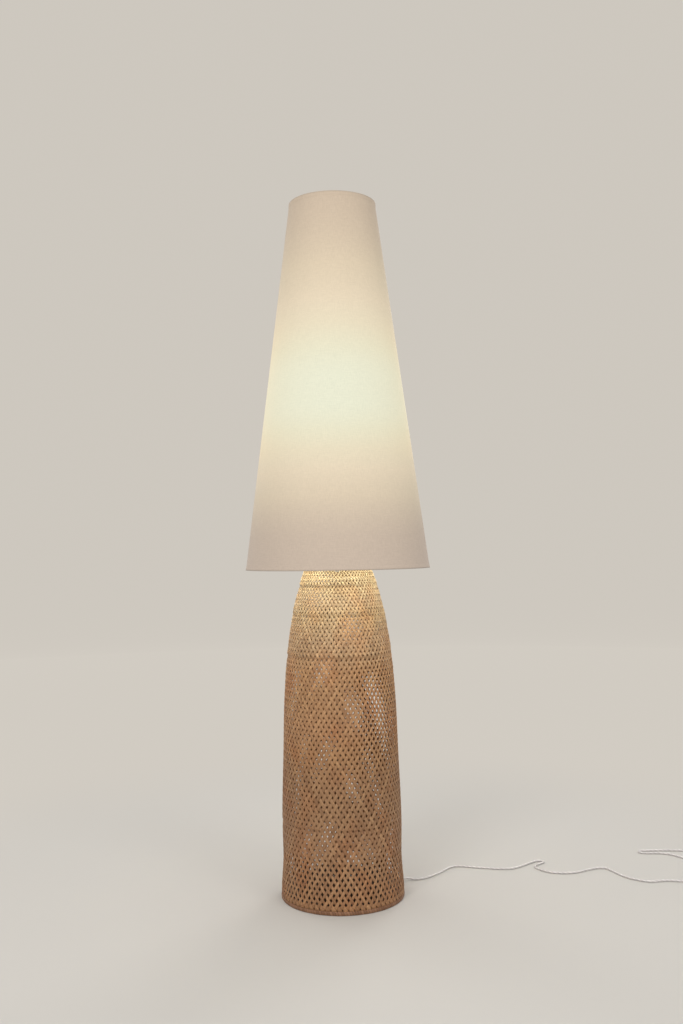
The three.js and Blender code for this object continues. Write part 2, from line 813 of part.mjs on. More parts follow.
// The cord's route on the floor, its points chosen by hand
const vectors = (points) => points.map(([x, y, z]) => new THREE.Vector3(x, y, z));
const routeOf = (points) => new THREE.CatmullRomCurve3(vectors(points), false, "centripetal");
const floorZ = cordRadius + cordFloorRoom;
const cordStart = glandEnd + gap;
const alongExit = (distance) => [
  (cordStart + distance) * Math.cos(exitTurn),
  (cordStart + distance) * Math.sin(exitTurn),
  exitHeight,
];
const cordWidth = 2 * cordRadius;
const switchMiddle = switchHalfHeight;
const switchLeft = switchX - switchLength / 2 - gap;
const switchRight = switchX + switchLength / 2 + gap;
const runRoute = [
  alongExit(0),
  alongExit(cordWidth),
  [148.5, 84.6, 4.6],
  [158, 85, 2.8],
  [168, 85.5, floorZ],
  [180, 90, floorZ],
  [193, 100, floorZ],
  [210, 117, floorZ],
  [227, 138, floorZ],
  [243, 160, floorZ],
  [257, 172, floorZ],
  [272, 173, floorZ],
  [290, 168, floorZ],
  [313, 161, floorZ],
  [336, 155, floorZ],
  [362, 149, floorZ],
  [387, 150, floorZ],
  [406, 161, floorZ],
  [421, 174, floorZ],
  [437, 189, floorZ],
  [451, 200, floorZ],
  [464, 203, floorZ],
  [469, 194, floorZ],
  [460, 183, floorZ],
  [448, 172, floorZ],
  [443, 159, floorZ],
  [448, 144, floorZ],
  [458, 130, floorZ],
  [471, 119, floorZ],
  [488, 113, floorZ],
  [508, 112, floorZ],
  [529, 116, floorZ],
  [550, 128, floorZ],
  [569, 138, floorZ],
  [586, 145, floorZ],
  [600, 142, floorZ],
  [609, 128, floorZ],
  [617, 107, floorZ],
  [627, 84, floorZ],
  [639, 68, floorZ],
  [652, 57, floorZ],
  [664, 49, floorZ],
  [678, 45, floorZ],
  [694, 48, floorZ],
  [712, 51, floorZ],
  [729, 48, floorZ],
  [743, 45, floorZ],
  [756, switchY, 4.6],
  [switchLeft - cordWidth, switchY, switchMiddle],
  [switchLeft, switchY, switchMiddle],
];

// The coil: turns spiral in and out by turns of a layer, and climb to the next layer as the spiral reverses
const coilStartAngle = 90;
const coilOut = coilRadius + (coilPitch * turnsPerLayer) / 2;
const coilLow = tieThickness + gap + cordRadius;

function coilPoint(turn) {
  const phase = turn % (2 * turnsPerLayer);
  const inward = phase < turnsPerLayer ? phase : 2 * turnsPerLayer - phase;
  const radius = coilOut - coilPitch * inward;
  const ends = Math.floor(coilTurns / turnsPerLayer);
  let layers = 0;
  for (let end = 1; end <= ends; end++) {
    const share = (turn - end * turnsPerLayer + climbTurns) / (2 * climbTurns);
    const clipped = Math.min(1, Math.max(0, share));
    layers += clipped * clipped * (3 - 2 * clipped);
  }
  const angle = coilStartAngle * degree - turn * wrap;
  return [
    coilX + radius * Math.cos(angle),
    coilY + radius * Math.sin(angle),
    coilLow + layers * coilPitch,
  ];
}

const coilSteps = Math.round(coilTurns * turnSteps);
const coilLine = Array.from({ length: coilSteps + 1 }, (_, i) => coilPoint(i / turnSteps));
const [coilStartX, coilStartY, coilStartZ] = coilLine[0];
const [coilEndX, coilEndY, coilEndZ] = coilLine[coilLine.length - 1];

const farRoute = [
  [switchRight, switchY, switchMiddle],
  [switchRight + cordWidth, switchY, switchMiddle],
  [840, 45, 5.2],
  [851, 49, 2.6],
  [862, 57, floorZ],
  [873, 70, floorZ],
  [880, 88, floorZ],
  [882, 110, floorZ],
  [882, 135, floorZ],
  [881, 165, floorZ],
  [878, 192, floorZ],
  [872, 216, floorZ],
  [862, 236, floorZ],
  [847, 252, floorZ],
  [828, 262, floorZ],
  [808, 267, floorZ],
  [788, 270, floorZ],
  [765, 271, floorZ],
  [742, 271, floorZ],
  [724, 270, floorZ],
  [713, 266, floorZ],
  [711, 258, floorZ],
  [717, 252, floorZ],
  [728, 250, floorZ],
  [744, 250, floorZ],
  [762, 247, floorZ],
  [776, 240, floorZ],
  [788, 228, floorZ],
  [798, 214, floorZ],
  [808, 202, floorZ],
  [820, 193, floorZ],
  [coilStartX - 2 * cordWidth - gap, coilStartY, coilStartZ],
  [coilStartX - cordWidth - gap, coilStartY, coilStartZ],
];
const plugMiddle = plugThickness / 2;
const plugEntry = plugX - plugReliefLength - gap;
const plugRoute = [
  [coilEndX - cordWidth - gap, coilEndY, coilEndZ],
  [coilEndX - 2 * cordWidth - gap, coilEndY, coilEndZ],
  [816, 133, 13],
  [803, 131, 7],
  [792, 125, 3],
  [785, 114, floorZ],
  [785, 101, floorZ],
  [790, 92, 4.6],
  [plugEntry - cordWidth, plugY, plugMiddle],
  [plugEntry, plugY, plugMiddle],
];

// A tube wound through all of its points, its sections kept upright
function woundTube(line, radius, sides) {
  const points = vectors(line);
  const up = new THREE.Vector3(0, 0, 1);
  const positions = [];
  points.forEach((point, i) => {
    const before = points[Math.max(i - 1, 0)];
    const after = points[Math.min(i + 1, points.length - 1)];
    const along = after.clone().sub(before).normalize();
    const side = along.clone().cross(up).normalize();
    const rise = side.clone().cross(along);
    for (let k = 0; k < sides; k++) {
      const angle = (wrap * k) / sides;
      const corner = point.clone();
      corner.addScaledVector(side, radius * Math.cos(angle)).addScaledVector(rise, radius * Math.sin(angle));
      positions.push(corner.x, corner.y, corner.z);
    }
  });
  const triangles = [];
  for (let i = 0; i < points.length - 1; i++) {
    for (let k = 0; k < sides; k++) {
      const [a, b] = [i * sides + k, i * sides + ((k + 1) % sides)];
      triangles.push(a, b + sides, b, a, a + sides, b + sides);
    }
  }
  const last = (points.length - 1) * sides;
  for (let k = 1; k < sides - 1; k++) {
    triangles.push(0, k, k + 1);
    triangles.push(last, last + k + 1, last + k);
  }
  const geometry = new THREE.BufferGeometry();
  geometry.setAttribute("position", new THREE.Float32BufferAttribute(positions, 3));
  geometry.setIndex(triangles);
  return geometry;
}

// The least room between turns of a wound line, measured between its points and the lines that join them
function leastGap(line, radius) {
  const points = vectors(line);
  const skip = Math.round(turnSteps / 2);
  const nearest = new THREE.Vector3();
  let least = Infinity;
  points.forEach((point, i) => {
    for (let j = i + skip; j < points.length - 1; j++) {
      new THREE.Line3(points[j], points[j + 1]).closestPointToPoint(point, true, nearest);
      least = Math.min(least, nearest.distanceTo(point) - 2 * radius);
    }
  });
  return least;
}

function makeCord() {
  const run = routeOf(runRoute);
  const far = routeOf(farRoute);
  const plugLead = routeOf(plugRoute);
  add("cord_run", tubeAlong(run, cordRadius, cordSides, runSteps), clearFlex);
  add("cord_far_run", tubeAlong(far, cordRadius, cordSides, farSteps), clearFlex);
  add("cord_plug_lead", tubeAlong(plugLead, cordRadius, cordSides, plugSteps), clearFlex);
  const wound = [
    [coilStartX - cordWidth, coilStartY, coilStartZ],
    ...coilLine,
    [coilEndX - cordWidth, coilEndY, coilEndZ],
  ];
  add("cord_coil", woundTube(wound, cordRadius, coilSides), clearFlex);
  const coilLength = wound.slice(1).reduce((sum, [x, y, z], i) => {
    const [x0, y0, z0] = wound[i];
    return sum + Math.hypot(x - x0, y - y0, z - z0);
  }, 0);
  const lengths = [run.getLength(), far.getLength(), coilLength, plugLead.getLength()];
  console.log("least gap in the coil", leastGap(coilLine, cordRadius).toFixed(2), "mm");
  console.log("cord lengths", lengths.map((length) => length.toFixed(0)).join(" + "), "mm");
}

function makeCoilTie() {
  const layers = Math.ceil(coilTurns / turnsPerLayer);
  const inside = tieTurnsShare * coilPitch + cordRadius + tieGap;
  const top = coilLow + (layers - 1) * coilPitch + cordRadius + tieGap;
  const loop = rectangle(inside + tieThickness, 0, top + tieThickness);
  loop.holes.push(rectangle(inside, tieThickness, top));
  const band = new THREE.ExtrudeGeometry(loop, { depth: tieWidth, bevelEnabled: false });
  band.rotateX(90 * degree).translate(coilRadius, tieWidth / 2, 0);
  band.rotateZ(tieAngle * degree).translate(coilX, coilY, 0);
  add("coil_tie", band, blackPlastic);
}

function rectangle(halfWidth, low, high) {
  const corners = [[-halfWidth, low], [halfWidth, low], [halfWidth, high], [-halfWidth, high]];
  return new THREE.Shape(corners.map(([x, y]) => new THREE.Vector2(x, y)));
}

// A bevelled slab of an outline, standing on a height
function slab(shape, low, high, bevel) {
  const geometry = new THREE.ExtrudeGeometry(shape, {
    depth: high - low - 2 * bevel,
    bevelThickness: bevel,
    bevelSize: bevel,
    bevelOffset: -bevel,
    bevelSegments: 1,
    curveSegments: cornerSteps,
  });
  return geometry.translate(0, 0, low + bevel);
}

function makeSwitch(rockerParent) {
  const halfLength = switchLength / 2;
  const halfWidth = switchWidth / 2;
  const [x, y] = [halfLength - switchCorner, halfWidth - switchCorner];
  const shape = new THREE.Shape();
  shape.absarc(x, y, switchCorner, 0, 90 * degree);
  shape.absarc(-x, y, switchCorner, 90 * degree, 180 * degree);
  shape.absarc(-x, -y, switchCorner, 180 * degree, 270 * degree);
  shape.absarc(x, -y, switchCorner, 270 * degree, 360 * degree);
  const middle = switchHalfHeight;
  const top = 2 * switchHalfHeight;
  const inner = [x, halfWidth - 2 * switchWall];
  const hollow = (low, high) => block([-inner[0], -inner[1], low], [inner[0], inner[1], high]);
  const place = (geometry) => geometry.translate(switchX, switchY, 0);
  const lower = without(slab(shape, 0, middle - gap / 2, switchBevel), hollow(switchWall, middle + cut));
  add("switch_lower", place(lower), clearPlastic);
  const pocket = [rockerRadius + 2 * gap, rockerWidth / 2 + gap];
  const upper = without(
    slab(shape, middle + gap / 2, top, switchBevel),
    hollow(middle - cut, top - switchWall),
    block([-pocket[0], -pocket[1], middle], [pocket[0], pocket[1], top + cut]),
  );
  add("switch_upper", place(upper), clearPlastic);
  const pivot = top - rockerDrop;
  const wing = rockerDrop + rockerRadius * Math.tan(rockerTilt * degree);
  const underside = Array.from({ length: rockerSteps + 1 }, (_, i) => {
    const angle = 180 * degree + (i * 180 * degree) / rockerSteps;
    return new THREE.Vector2(rockerRadius * Math.cos(angle), rockerRadius * Math.sin(angle));
  });
  const outline = [
    ...underside,
    new THREE.Vector2(rockerRadius, wing),
    new THREE.Vector2(0, rockerDrop),
    new THREE.Vector2(-rockerRadius, wing),
  ];
  const side = new THREE.Shape(outline);
  const rocker = new THREE.ExtrudeGeometry(side, { depth: rockerWidth, bevelEnabled: false });
  rocker.translate(0, 0, -rockerWidth / 2).rotateX(90 * degree).rotateY(-rockerTilt * degree);
  add("switch_rocker", rocker.translate(switchX, switchY, pivot), blackPlastic, rockerParent);
}

function makePlug() {
  const half = plugWidth / 2;
  const side = plugStationShares.map((share, i) => [share * plugLength, plugHalfWidthShares[i] * half]);
  const outline = [...side.map(([x, y]) => [x, -y]), ...side.reverse()];
  const shape = new THREE.Shape(outline.map(([x, y]) => new THREE.Vector2(x, y)));
  const relief = turned([
    [0, -plugReliefLength],
    [glandTipRadius, -plugReliefLength],
    [plugReliefRadius, 2 * plugBevel],
    [0, 2 * plugBevel],
  ], slim);
  relief.rotateY(90 * degree).translate(0, 0, plugMiddle);
  const body = joined(slab(shape, 0, plugThickness, plugBevel), relief);
  add("plug_body", body.translate(plugX, plugY, 0), clearPlastic);
  const tip = pinLength - pinRadius;
  const pin = turned([
    [0, 0],
    [pinRadius, 0],
    [pinRadius, tip],
    [pinRadius / 2, pinLength],
    [0, pinLength],
  ], slim).rotateY(90 * degree);
  [-1, 1].forEach((hand, i) => {
    const across = plugY + (hand * pinSpacing) / 2;
    const placed = pin.clone().translate(plugX + plugLength + gap, across, plugMiddle);
    add(`plug_pin_${i + 1}`, placed, nickel);
  });
}

const bulb = new THREE.Group();
const carrier = new THREE.Group();
const shade = new THREE.Group();
const rocker = new THREE.Group();
lamp.add(bulb, carrier, rocker);
carrier.add(shade);

makeWovenBase();
makeFoot();
makeTube();
makeCarrier(carrier);
makeShade(shade);
const { contactTop, coreLow } = makeLampholder();
makeBulb(bulb, contactTop);
makeGland();
makeInnerLead(coreLow);
makeCord();
makeCoilTie();
makeSwitch(rocker);
makePlug();

export default lamp;
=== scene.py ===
import math

import bpy
import numpy as np
from mathutils import Matrix


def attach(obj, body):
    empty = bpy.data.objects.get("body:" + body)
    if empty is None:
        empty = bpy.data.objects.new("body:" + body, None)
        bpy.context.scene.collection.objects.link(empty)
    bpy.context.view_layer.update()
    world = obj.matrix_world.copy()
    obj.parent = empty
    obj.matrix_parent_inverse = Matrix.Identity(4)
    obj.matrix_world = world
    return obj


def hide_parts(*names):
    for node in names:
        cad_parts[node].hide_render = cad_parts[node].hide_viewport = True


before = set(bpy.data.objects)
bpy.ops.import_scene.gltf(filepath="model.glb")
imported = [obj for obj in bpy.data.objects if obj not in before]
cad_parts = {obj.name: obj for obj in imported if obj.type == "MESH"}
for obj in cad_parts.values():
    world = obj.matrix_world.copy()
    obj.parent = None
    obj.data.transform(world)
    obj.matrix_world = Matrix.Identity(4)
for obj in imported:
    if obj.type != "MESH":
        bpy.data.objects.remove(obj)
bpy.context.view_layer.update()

# Lengths are in millimetres where MM is applied to them later, and in metres in the finishes
MM = 0.001
TURN = 2 * math.pi
SHARP_ANGLE = 35

# Driving sizes
BASE_HEIGHT, FOOT_RADIUS = 700, 127.5
SHADE_LOW, SHADE_HIGH, LOW_RADIUS, HIGH_RADIUS = 700, 1500, 200, 95.5
TUBE_RADIUS, TUBE_BORE = 8, 8.3
CORD_RADIUS = 2.2

# Steps of the maps that the patterns follow, in metres
WRAP_PITCH = 0.0058
CORD_TWIST = 0.011
STRAND_CORNERS = 8
CORNER_STEP = 0.0016


# Camera, at the photograph's place

def aim_camera(place, yaw, pitch, roll, focal_pixels, long_side):
    """A camera from its place, its turn to the left, its tilt up and its roll, with the lens that gives the
    focal length in pixels of the long side of the picture."""
    forward = np.array([-math.sin(yaw) * math.cos(pitch), math.cos(yaw) * math.cos(pitch), math.sin(pitch)])
    right = np.array([math.cos(yaw), math.sin(yaw), 0.0])
    up = np.cross(right, forward)
    rolled_right = math.cos(roll) * right + math.sin(roll) * up
    rolled_up = math.cos(roll) * up - math.sin(roll) * right
    camera = bpy.data.objects.new("camera", bpy.data.cameras.new("camera"))
    bpy.context.scene.collection.objects.link(camera)
    turn = Matrix([list(row) for row in np.column_stack([rolled_right, rolled_up, -forward])])
    camera.matrix_world = Matrix.Translation(place) @ turn.to_4x4()
    camera.data.sensor_width = 36
    camera.data.lens = focal_pixels / long_side * camera.data.sensor_width
    camera.data.clip_end = 60
    bpy.context.scene.camera = camera


aim_camera(place=(0.0184683, -2.20811, 0.7446833), yaw=0.0039009, pitch=0.0355928, roll=-0.016395,
           focal_pixels=1012.679, long_side=1024)


# Mesh making

def piece_of(name, points, faces, body, finish, stands_for=(), uv=None, sharp=None, values=None):
    """A mesh piece from points in millimetres and faces of point numbers, in the place of the CAD nodes
    that it stands for. uv holds a pair in metres for each corner of each face, and values one number for
    each point by the name of its attribute."""
    mesh = bpy.data.meshes.new(name)
    mesh.from_pydata((np.asarray(points).reshape(-1, 3) * MM).tolist(), [], [list(face) for face in faces])
    mesh.validate()
    mesh.polygons.foreach_set("use_smooth", np.ones(len(mesh.polygons), bool))
    if sharp:
        mesh.set_sharp_from_angle(angle=math.radians(sharp))
    if uv is not None:
        layer = mesh.uv_layers.new(name="laid")
        layer.data.foreach_set("uv", np.asarray(uv, np.float32).ravel())
    for label, numbers in (values or {}).items():
        attribute = mesh.attributes.new(label, "FLOAT", "POINT")
        attribute.data.foreach_set("value", np.asarray(numbers, np.float32).ravel())
    mesh.materials.append(finish.material)
    mesh.update()
    piece = bpy.data.objects.new(name, mesh)
    bpy.context.scene.collection.objects.link(piece)
    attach(piece, body)
    if stands_for:
        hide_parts(*stands_for)
    return piece


def quads_between(rows, columns, close_rows, close_columns):
    """Point numbers of the faces of a grid of rows by columns, each face a to b along a row, then to the
    next row. A closed direction joins its last line of points to its first."""
    i = np.arange(rows if close_rows else rows - 1)
    j = np.arange(columns if close_columns else columns - 1)
    i, j = np.meshgrid(i, j, indexing="ij")
    i2, j2 = (i + 1) % rows, (j + 1) % columns
    corners = [i * columns + j, i * columns + j2, i2 * columns + j2, i2 * columns + j]
    return np.stack(corners, axis=-1).reshape(-1, 4)


def turned(name, profile, body, finish, stands_for, segments=96, axis=(0, 0), change=None):
    """A profile of (radius, height) in millimetres carried round an upright axis: x = r cos(a), y = r
    sin(a). It runs from the axis to the axis and is closed there by fans, or it is a closed loop and makes
    a ring. change takes the radius, height and angle of each point and gives its new radius and height."""
    profile = np.array(profile, float)
    r, z = profile.T
    following = np.roll(profile, -1, axis=0)
    if np.sum(r * following[:, 1] - following[:, 0] * z) < 0:
        profile = profile[::-1]
        r, z = profile.T
    solid = r[0] == 0 and r[-1] == 0
    rings = profile[1:-1] if solid else profile
    angle = np.arange(segments) * TURN / segments
    shape = (len(rings), segments)
    radius, height = (np.broadcast_to(rings[:, None, n], shape) for n in (0, 1))
    if change:
        radius, height = change(radius, height, np.broadcast_to(angle, shape))
    points = np.stack([radius * np.cos(angle) + axis[0], radius * np.sin(angle) + axis[1], height],
                      axis=-1).reshape(-1, 3)
    faces = quads_between(len(rings), segments, not solid, True)
    loop = rings if solid else np.vstack([rings, rings[:1]])
    along = np.concatenate([[0], np.cumsum(np.linalg.norm(np.diff(loop, axis=0), axis=1))]) * MM
    i, j = np.divmod(np.arange(len(faces)), segments)
    uv = np.stack([(j[:, None] + [0, 1, 1, 0]) / segments * TURN * r.mean() * MM,
                   along[i[:, None] + [0, 0, 1, 1]]], axis=-1).reshape(-1, 2)
    faces = faces.tolist()
    if solid:
        low, high = len(points), len(points) + 1
        points = np.vstack([points, [axis[0], axis[1], z[0]], [axis[0], axis[1], z[-1]]])
        last = (len(rings) - 1) * segments
        k = np.arange(segments)
        following = (k + 1) % segments
        faces += np.column_stack([np.full(segments, low), following, k]).tolist()
        faces += np.column_stack([np.full(segments, high), last + k, last + following]).tolist()
        uv = np.vstack([uv, np.zeros((6 * segments, 2))])
    return piece_of(name, points, faces, body, finish, stands_for, uv=uv, sharp=SHARP_ANGLE)


def rounded(profile, radius, steps=3, closed=True):
    """A profile with each corner rounded: the corner is cut back by radius along both of its sides, by no
    more than 45% of a side, and a curve of second degree joins the cuts."""
    profile = np.array(profile, float)
    rows = []
    for n, corner in enumerate(profile):
        before, after = profile[n - 1], profile[(n + 1) % len(profile)]
        if (not closed and n in (0, len(profile) - 1)) or corner[0] == 0:
            rows.append(corner[None])
            continue
        reach = [min(radius, 0.45 * np.linalg.norm(side - corner)) for side in (before, after)]
        start = corner + (before - corner) / np.linalg.norm(before - corner) * reach[0]
        end = corner + (after - corner) / np.linalg.norm(after - corner) * reach[1]
        t = np.linspace(0, 1, steps + 1)[:, None]
        rows.append((1 - t) ** 2 * start + 2 * t * (1 - t) * corner + t ** 2 * end)
    return np.vstack(rows)


def tube_along(name, path, radius, body, finish, stands_for, sides=12, side=None):
    """A round section carried along a path of points in millimetres without twisting, with flat ends. The
    section's first side is level, or is given."""
    path = np.asarray(path, float)
    angle = np.arange(sides) * TURN / sides
    points = carried(path, radius * np.column_stack([np.cos(angle), np.sin(angle)]), side)
    faces = quads_between(len(path), sides, False, True)[:, ::-1]
    distance = np.concatenate([[0], np.cumsum(np.linalg.norm(np.diff(path, axis=0), axis=1))]) * MM
    corner_row = np.array([1, 1, 0, 0])
    corner_side = np.array([0, 1, 1, 0])
    i, j = np.divmod(np.arange(len(faces)), sides)
    round_it = (j[:, None] + corner_side) / sides * TURN * radius * MM
    uv = np.stack([distance[i[:, None] + corner_row], round_it], axis=-1).reshape(-1, 2)
    first = list(range(sides))
    last = [(len(path) - 1) * sides + k for k in range(sides)][::-1]
    uv = np.vstack([uv, np.zeros((2 * sides, 2))])
    return piece_of(name, points, faces.tolist() + [first, last], body, finish, stands_for, uv=uv)


def carried(path, outline, side=None):
    """Points of an outline of (across, up) carried along a path in millimetres. Across is level, square to
    the path, or along a given side."""
    path = np.asarray(path, float)
    along = np.gradient(path, axis=0)
    along /= np.linalg.norm(along, axis=1, keepdims=True)
    if side is None:
        side = np.cross(along, [0, 0, 1.0])
    side = np.broadcast_to(np.asarray(side, float), path.shape)
    side = side / np.linalg.norm(side, axis=1, keepdims=True)
    rise = np.cross(side, along)
    outline = np.broadcast_to(np.asarray(outline, float), (len(path), *np.asarray(outline).shape[-2:]))
    return path[:, None] + outline[..., :1] * side[:, None] + outline[..., 1:] * rise[:, None]


def skinned(rows, flip=False, closed=False):
    """Points and faces over outlines of as many points each: flat ends, or the last row joined to the
    first. The faces point outwards where the outlines turn left round the way from row to row, and flip
    turns them."""
    rows = np.asarray(rows, float)
    count, corners = rows.shape[:2]
    faces = quads_between(count, corners, closed, True).tolist()
    if not closed:
        faces += [list(range(corners))[::-1], [(count - 1) * corners + k for k in range(corners)]]
    return rows.reshape(-1, 3), [face[::-1] for face in faces] if flip else faces


def along_line(start, direction, rows):
    """Round sections of (distance, radius) square to a level line."""
    sides = 28
    direction, rows = np.array(direction, float), np.array(rows, float)
    angle = np.arange(sides) * TURN / sides
    ring = np.cos(angle)[:, None] * np.cross([0, 0, 1.0], direction) + np.sin(angle)[:, None] * [0, 0, 1.0]
    return np.array(start, float) + rows[:, :1, None] * direction + rows[:, 1:, None] * ring


def relief_rows(mouth, root, thin, thick, bore, depth, ribs):
    """Sections of a strain relief by (distance, radius): out along the bore to the mouth, then back along a
    tapered outside whose radius dips between the ribs."""
    x = np.linspace(mouth + 1.0, root, 14 * ribs + 1)
    share = (x - mouth) / (root - mouth)
    dip = 0.45 * np.clip(np.sin(TURN * ribs * share), 0, 1) * (share < 0.96)
    outside = thin + (thick - thin) * share - dip
    return [(mouth + depth, bore), (mouth + 0.4, bore), (mouth, bore + 0.2), (mouth, thin - 0.25),
            (mouth + 0.3, thin), *zip(x, outside)]


def soft_rectangle(width, height, corner, steps=3):
    """Outline of a rectangle with round corners, about its middle."""
    a, b = width / 2 - corner, height / 2 - corner
    turn = np.linspace(0, math.pi / 2, steps + 1)
    quarter = np.column_stack([np.cos(turn), np.sin(turn)]) * corner
    turns = [np.array([[c, -d], [d, c]]) for c, d in ((1, 0), (0, 1), (-1, 0), (0, -1))]
    corners = [quarter @ m.T + middle for m, middle in zip(turns, ([a, b], [-a, b], [-a, -b], [a, -b]))]
    return np.vstack(corners)


def joined(name, parts, body, finish, stands_for):
    """One piece of several (points, faces) shells."""
    points, faces, start = [], [], 0
    for more_points, more_faces in parts:
        more_points = np.asarray(more_points).reshape(-1, 3)
        faces += [[start + n for n in face] for face in more_faces]
        points.append(more_points)
        start += len(more_points)
    return piece_of(name, np.vstack(points), faces, body, finish, stands_for, sharp=SHARP_ANGLE)


def spun(points, angle):
    """Points turned about the upright axis."""
    cos, sin = math.cos(angle), math.sin(angle)
    return np.asarray(points) @ np.array([[cos, sin, 0], [-sin, cos, 0], [0, 0, 1]])


def ring_shell(profile, segments=96):
    """A closed profile of (radius, height) carried round, as points and faces."""
    profile = np.array(profile, float)
    r, z = profile.T
    following = np.roll(profile, -1, axis=0)
    if np.sum(r * following[:, 1] - following[:, 0] * z) < 0:
        r, z = r[::-1], z[::-1]
    angle = np.arange(segments) * TURN / segments
    points = np.stack([r[:, None] * np.cos(angle), r[:, None] * np.sin(angle),
                       np.broadcast_to(z[:, None], (len(r), segments))], axis=-1)
    return points.reshape(-1, 3), quads_between(len(r), segments, True, True).tolist()


def circle_profile(middle, height, radius):
    """The section of a round hoop, by (radius, height)."""
    sides = 14
    angle = np.arange(sides) * TURN / sides
    return np.column_stack([middle + radius * np.cos(angle), height + radius * np.sin(angle)])


# Finishes

class Finish:
    """A material with one Principled shader, for a material slot. Constants go on its sockets, and patterns
    are wired to them."""

    def __init__(self, slot, **constants):
        self.slot = slot
        self.material = bpy.data.materials.new(slot)
        self.material.use_nodes = True
        self.tree = self.material.node_tree
        self.shader = self.tree.nodes["Principled BSDF"]
        for socket, value in constants.items():
            self.shader.inputs[socket.replace("_", " ")].default_value = value

    def node(self, kind, out=0, settings=None, **inputs):
        node = self.tree.nodes.new("ShaderNode" + kind)
        for key, value in (settings or {}).items():
            setattr(node, key, value)
        for socket, value in inputs.items():
            place = int(socket[1:]) if socket[0] == "_" else socket.replace("_", " ")
            self.put(node.inputs[place], value)
        return node.outputs[out]

    def put(self, socket, value):
        if isinstance(value, bpy.types.NodeSocket):
            self.tree.links.new(value, socket)
        else:
            socket.default_value = value

    def on(self, socket, value):
        self.put(self.shader.inputs[socket], value)

    def object_place(self, scale=(1, 1, 1)):
        return self.node("Mapping", Vector=self.node("TexCoord", out=3), Scale=scale)

    def laid_place(self, scale=(1, 1, 1)):
        return self.node("Mapping", Vector=self.node("UVMap", settings={"uv_map": "laid"}), Scale=scale)

    def shifted(self, place, shift):
        return self.node("VectorMath", settings={"operation": "ADD"}, _0=place, _1=shift)

    def attribute(self, name):
        return self.node("Attribute", out=2, settings={"attribute_name": name})

    def place_parts(self):
        parts = self.node("SeparateXYZ", Vector=self.node("TexCoord", out=3)).node
        return parts.outputs[0], parts.outputs[1], parts.outputs[2]

    def noise(self, place, scale, detail=2.0, rough=0.5):
        return self.node("TexNoise", Vector=place, Scale=scale, Detail=detail, Roughness=rough)

    def maths(self, operation, a, b=0.0, clamp=False):
        return self.node("Math", settings={"operation": operation, "use_clamp": clamp}, _0=a, _1=b)

    def plus(self, a, b, clamp=False):
        return self.maths("ADD", a, b, clamp)

    def minus(self, a, b):
        return self.maths("SUBTRACT", a, b)

    def times(self, a, b):
        return self.maths("MULTIPLY", a, b)

    def ramp(self, factor, stops, smooth=False):
        node = self.tree.nodes.new("ShaderNodeValToRGB")
        if smooth:
            node.color_ramp.interpolation = "EASE"
        elements = node.color_ramp.elements
        while len(elements) < len(stops):
            elements.new(0.5)
        for element, (place, colour) in zip(elements, stops):
            element.position = place
            element.color = (*colour, 1) if hasattr(colour, "__len__") else (colour, colour, colour, 1)
        self.put(node.inputs[0], factor)
        return node.outputs[0]

    def blend(self, how, factor, a, b):
        node = self.tree.nodes.new("ShaderNodeMix")
        node.data_type = "RGBA"
        node.blend_type = how
        self.put(node.inputs[0], factor)
        self.put(node.inputs[6], (*a, 1) if isinstance(a, tuple) else a)
        self.put(node.inputs[7], (*b, 1) if isinstance(b, tuple) else b)
        return node.outputs[2]

    def bump(self, height, distance):
        self.on("Normal", self.node("Bump", Height=height, Distance=distance, Strength=1.0))


